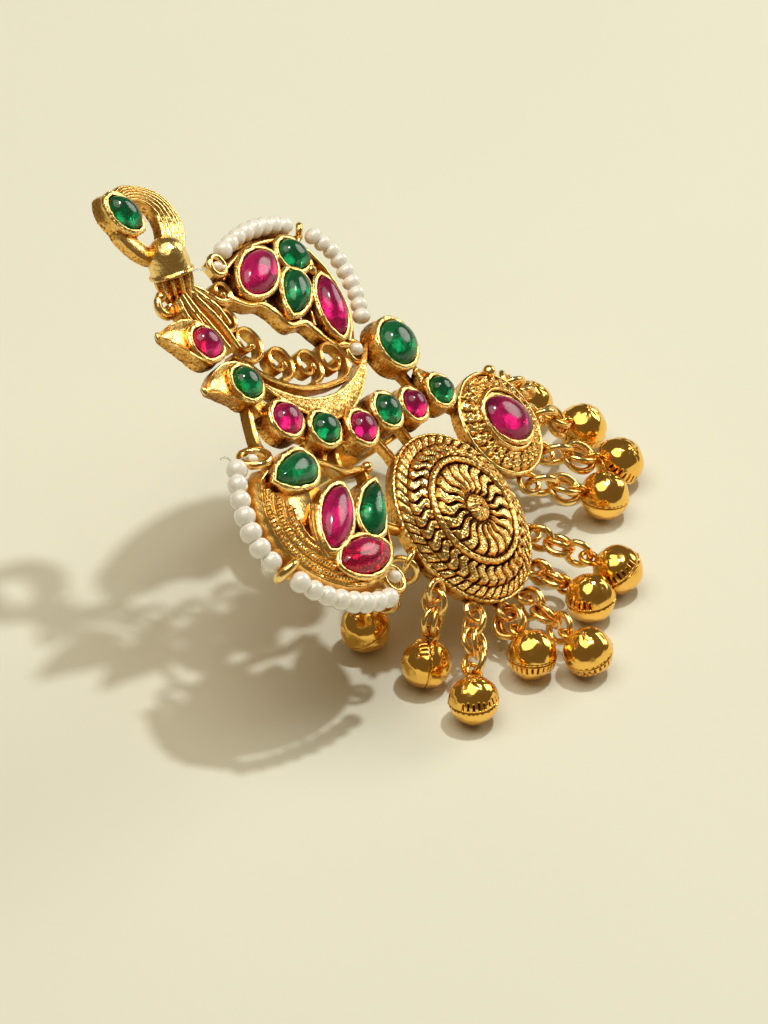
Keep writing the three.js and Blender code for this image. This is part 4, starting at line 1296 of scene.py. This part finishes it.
class RING_OT_chains(bpy.types.Operator):
    """Jump rings between the discs and the bells"""

    bl_idname = "ring.chains"
    bl_label = "Chains"

    def execute(self, context):
        hanging = context.scene.ring_hanging
        wire = gold("jump_ring_gold", context.scene.ring_finish, amount=0.9, polish=0.12, pits=0.2)
        for row in BELLS:
            form = Form(Matrix.Identity(4))
            chain_links(form, row, hanging.ring_wire / MM, hanging.bell_radius / MM)
            node = "bell_%d_chain" % row["number"]
            settle(form.mesh(node + "_links", wire), "chain_gold", node)
        return {"FINISHED"}


class RING_OT_bells(bpy.types.Operator):
    """The pressed bells with their crimped seams and wire eyes"""

    bl_idname = "ring.bells"
    bl_label = "Bells"

    def execute(self, context):
        hanging, finish = context.scene.ring_hanging, context.scene.ring_finish
        polished = gold("bell_gold", finish, amount=1.0, polish=0.09, pits=0.15, relief=0.02,
                        bright=(1.0, 0.6, 0.13))
        for row in BELLS:
            form = Form(Matrix.Identity(4))
            centre, axis = bell_body(form, row, hanging)
            radius = hanging.bell_radius / MM
            through = chain_links(Form(), row, hanging.ring_wire / MM, radius)  # only for the way it ends
            across = (through - axis * through.dot(axis)).normalized()
            form.ring(centre + axis * (radius + EYE["reach"]), across, EYE["radius"], EYE["wire"], 30,
                      recess=0.1)
            node = "bell_%d" % row["number"]
            settle(form.mesh(node + "_pressed", polished, crease=50), "bell_gold", node)
        return {"FINISHED"}


LIGHTS = rows("name power spot width height tint", [
    ("key", "key", (0.17, -0.04, 0.56), 0.035, 0.035, (1.0, 1.0, 0.97)),
    ("overhead", "fill", (-0.08, 0.05, 0.55), 0.5, 0.5, (1.0, 0.9, 0.76)),
    ("card", "card", (0.56, -0.08, 0.235), 0.36, 0.28, (1.0, 0.97, 0.88)),
])
LIT_POINT = Vector((0, 0, 0.01))
# The camera: the ways back from the ring and to the right, how far its aim lies from the plate's origin,
# the height of what it shows, in millimetres, and its sensor.
VIEW = {"back": (-0.5496, -0.5384, 0.6391), "right": (0.6997, -0.7145, 0), "across": 3.67, "above": -6.83,
        "tall": 85.33, "sensor": 36}


class RING_OT_stage(bpy.types.Operator):
    """Paper floor, soft light and the camera"""

    bl_idname = "ring.stage"
    bl_label = "Stage"

    def execute(self, context):
        stage = context.scene.ring_stage
        paper, tree, shader = surface("paper")
        shade = [0.95 * c for c in stage.floor]
        tint = blend(tree, noise(tree, 18, 2), (*stage.floor, 1), (*shade, 1))
        tree.links.new(tint, shader.inputs["Base Color"])
        bump(tree, shader, noise(tree, 350, 5, 0.65), 0.03)
        fill(shader, {"Roughness": 0.75})
        data = bpy.data.meshes.new("floor")
        data.from_pydata([(-1, -1, 0), (1, -1, 0), (1, 1, 0), (-1, 1, 0)], [], [(0, 1, 2, 3)])
        data.materials.append(paper)
        floor = bpy.data.objects.new("floor", data)
        context.scene.collection.objects.link(floor)

        world = bpy.data.worlds.new("surroundings")
        world.use_nodes = True
        fill(world.node_tree.nodes["Background"], {"Color": (1.0, 0.74, 0.42, 1), "Strength": stage.sky})
        context.scene.world = world
        for row in LIGHTS:
            lamp = bpy.data.lights.new(row["name"], "AREA")
            lamp.shape = "ELLIPSE"
            lamp.size, lamp.size_y = row["width"], row["height"]
            lamp.energy = getattr(stage, row["power"])
            lamp.color = row["tint"]
            light = bpy.data.objects.new(row["name"], lamp)
            light.location = row["spot"]
            way = LIT_POINT - Vector(row["spot"])
            light.rotation_euler = way.to_track_quat("-Z", "Y").to_euler()
            context.scene.collection.objects.link(light)

        data = bpy.data.cameras.new("camera")
        camera = bpy.data.objects.new("camera", data)
        back, right = (Vector(VIEW[name]).normalized() for name in ("back", "right"))
        up = back.cross(right)
        aim = (PLATE.translation + VIEW["across"] * right + VIEW["above"] * up) * MM
        camera.location = aim + back * stage.distance
        camera.rotation_euler = Matrix((right, up, back)).transposed().to_euler()
        data.sensor_width = VIEW["sensor"]
        data.lens = VIEW["sensor"] * stage.distance / (VIEW["tall"] * MM)
        data.clip_start, data.clip_end = 0.01, 20
        context.scene.collection.objects.link(camera)
        context.scene.camera = camera
        context.scene.view_settings.view_transform = "Standard"
        return {"FINISHED"}


OPERATORS = (RING_OT_stage, RING_OT_stones, RING_OT_settings, RING_OT_leaves, RING_OT_finial, RING_OT_scrolls,
             RING_OT_crescent, RING_OT_wings, RING_OT_discs, RING_OT_shank, RING_OT_pearls, RING_OT_thread,
             RING_OT_chains, RING_OT_bells)
GROUPS = {"ring_casting": CastingSettings, "ring_discs": DiscSettings, "ring_hanging": HangingSettings,
          "ring_finish": FinishSettings, "ring_stage": StageSettings}


class RING_PT_panel(bpy.types.Panel):
    """Sizes, colours and pieces of the ring"""

    bl_idname = "RING_PT_panel"
    bl_label = "Finger ring"
    bl_space_type = "VIEW_3D"
    bl_region_type = "UI"
    bl_category = "Ring"

    def draw(self, context):
        layout = self.layout
        for name, kind in GROUPS.items():
            box = layout.box()
            for prop in kind.__annotations__:
                box.prop(getattr(context.scene, name), prop)
        for kind in OPERATORS:
            layout.operator(kind.bl_idname)


def register():
    for kind in (*GROUPS.values(), *OPERATORS, RING_PT_panel):
        bpy.utils.register_class(kind)
    for name, kind in GROUPS.items():
        setattr(bpy.types.Scene, name, PointerProperty(type=kind))


def unregister():
    for name in GROUPS:
        delattr(bpy.types.Scene, name)
    for kind in reversed((*GROUPS.values(), *OPERATORS, RING_PT_panel)):
        bpy.utils.unregister_class(kind)


def main():
    register()
    for kind in OPERATORS:
        group_name, action = kind.bl_idname.split(".")
        getattr(getattr(bpy.ops, group_name), action)()


if __name__ == "__main__":
    main()
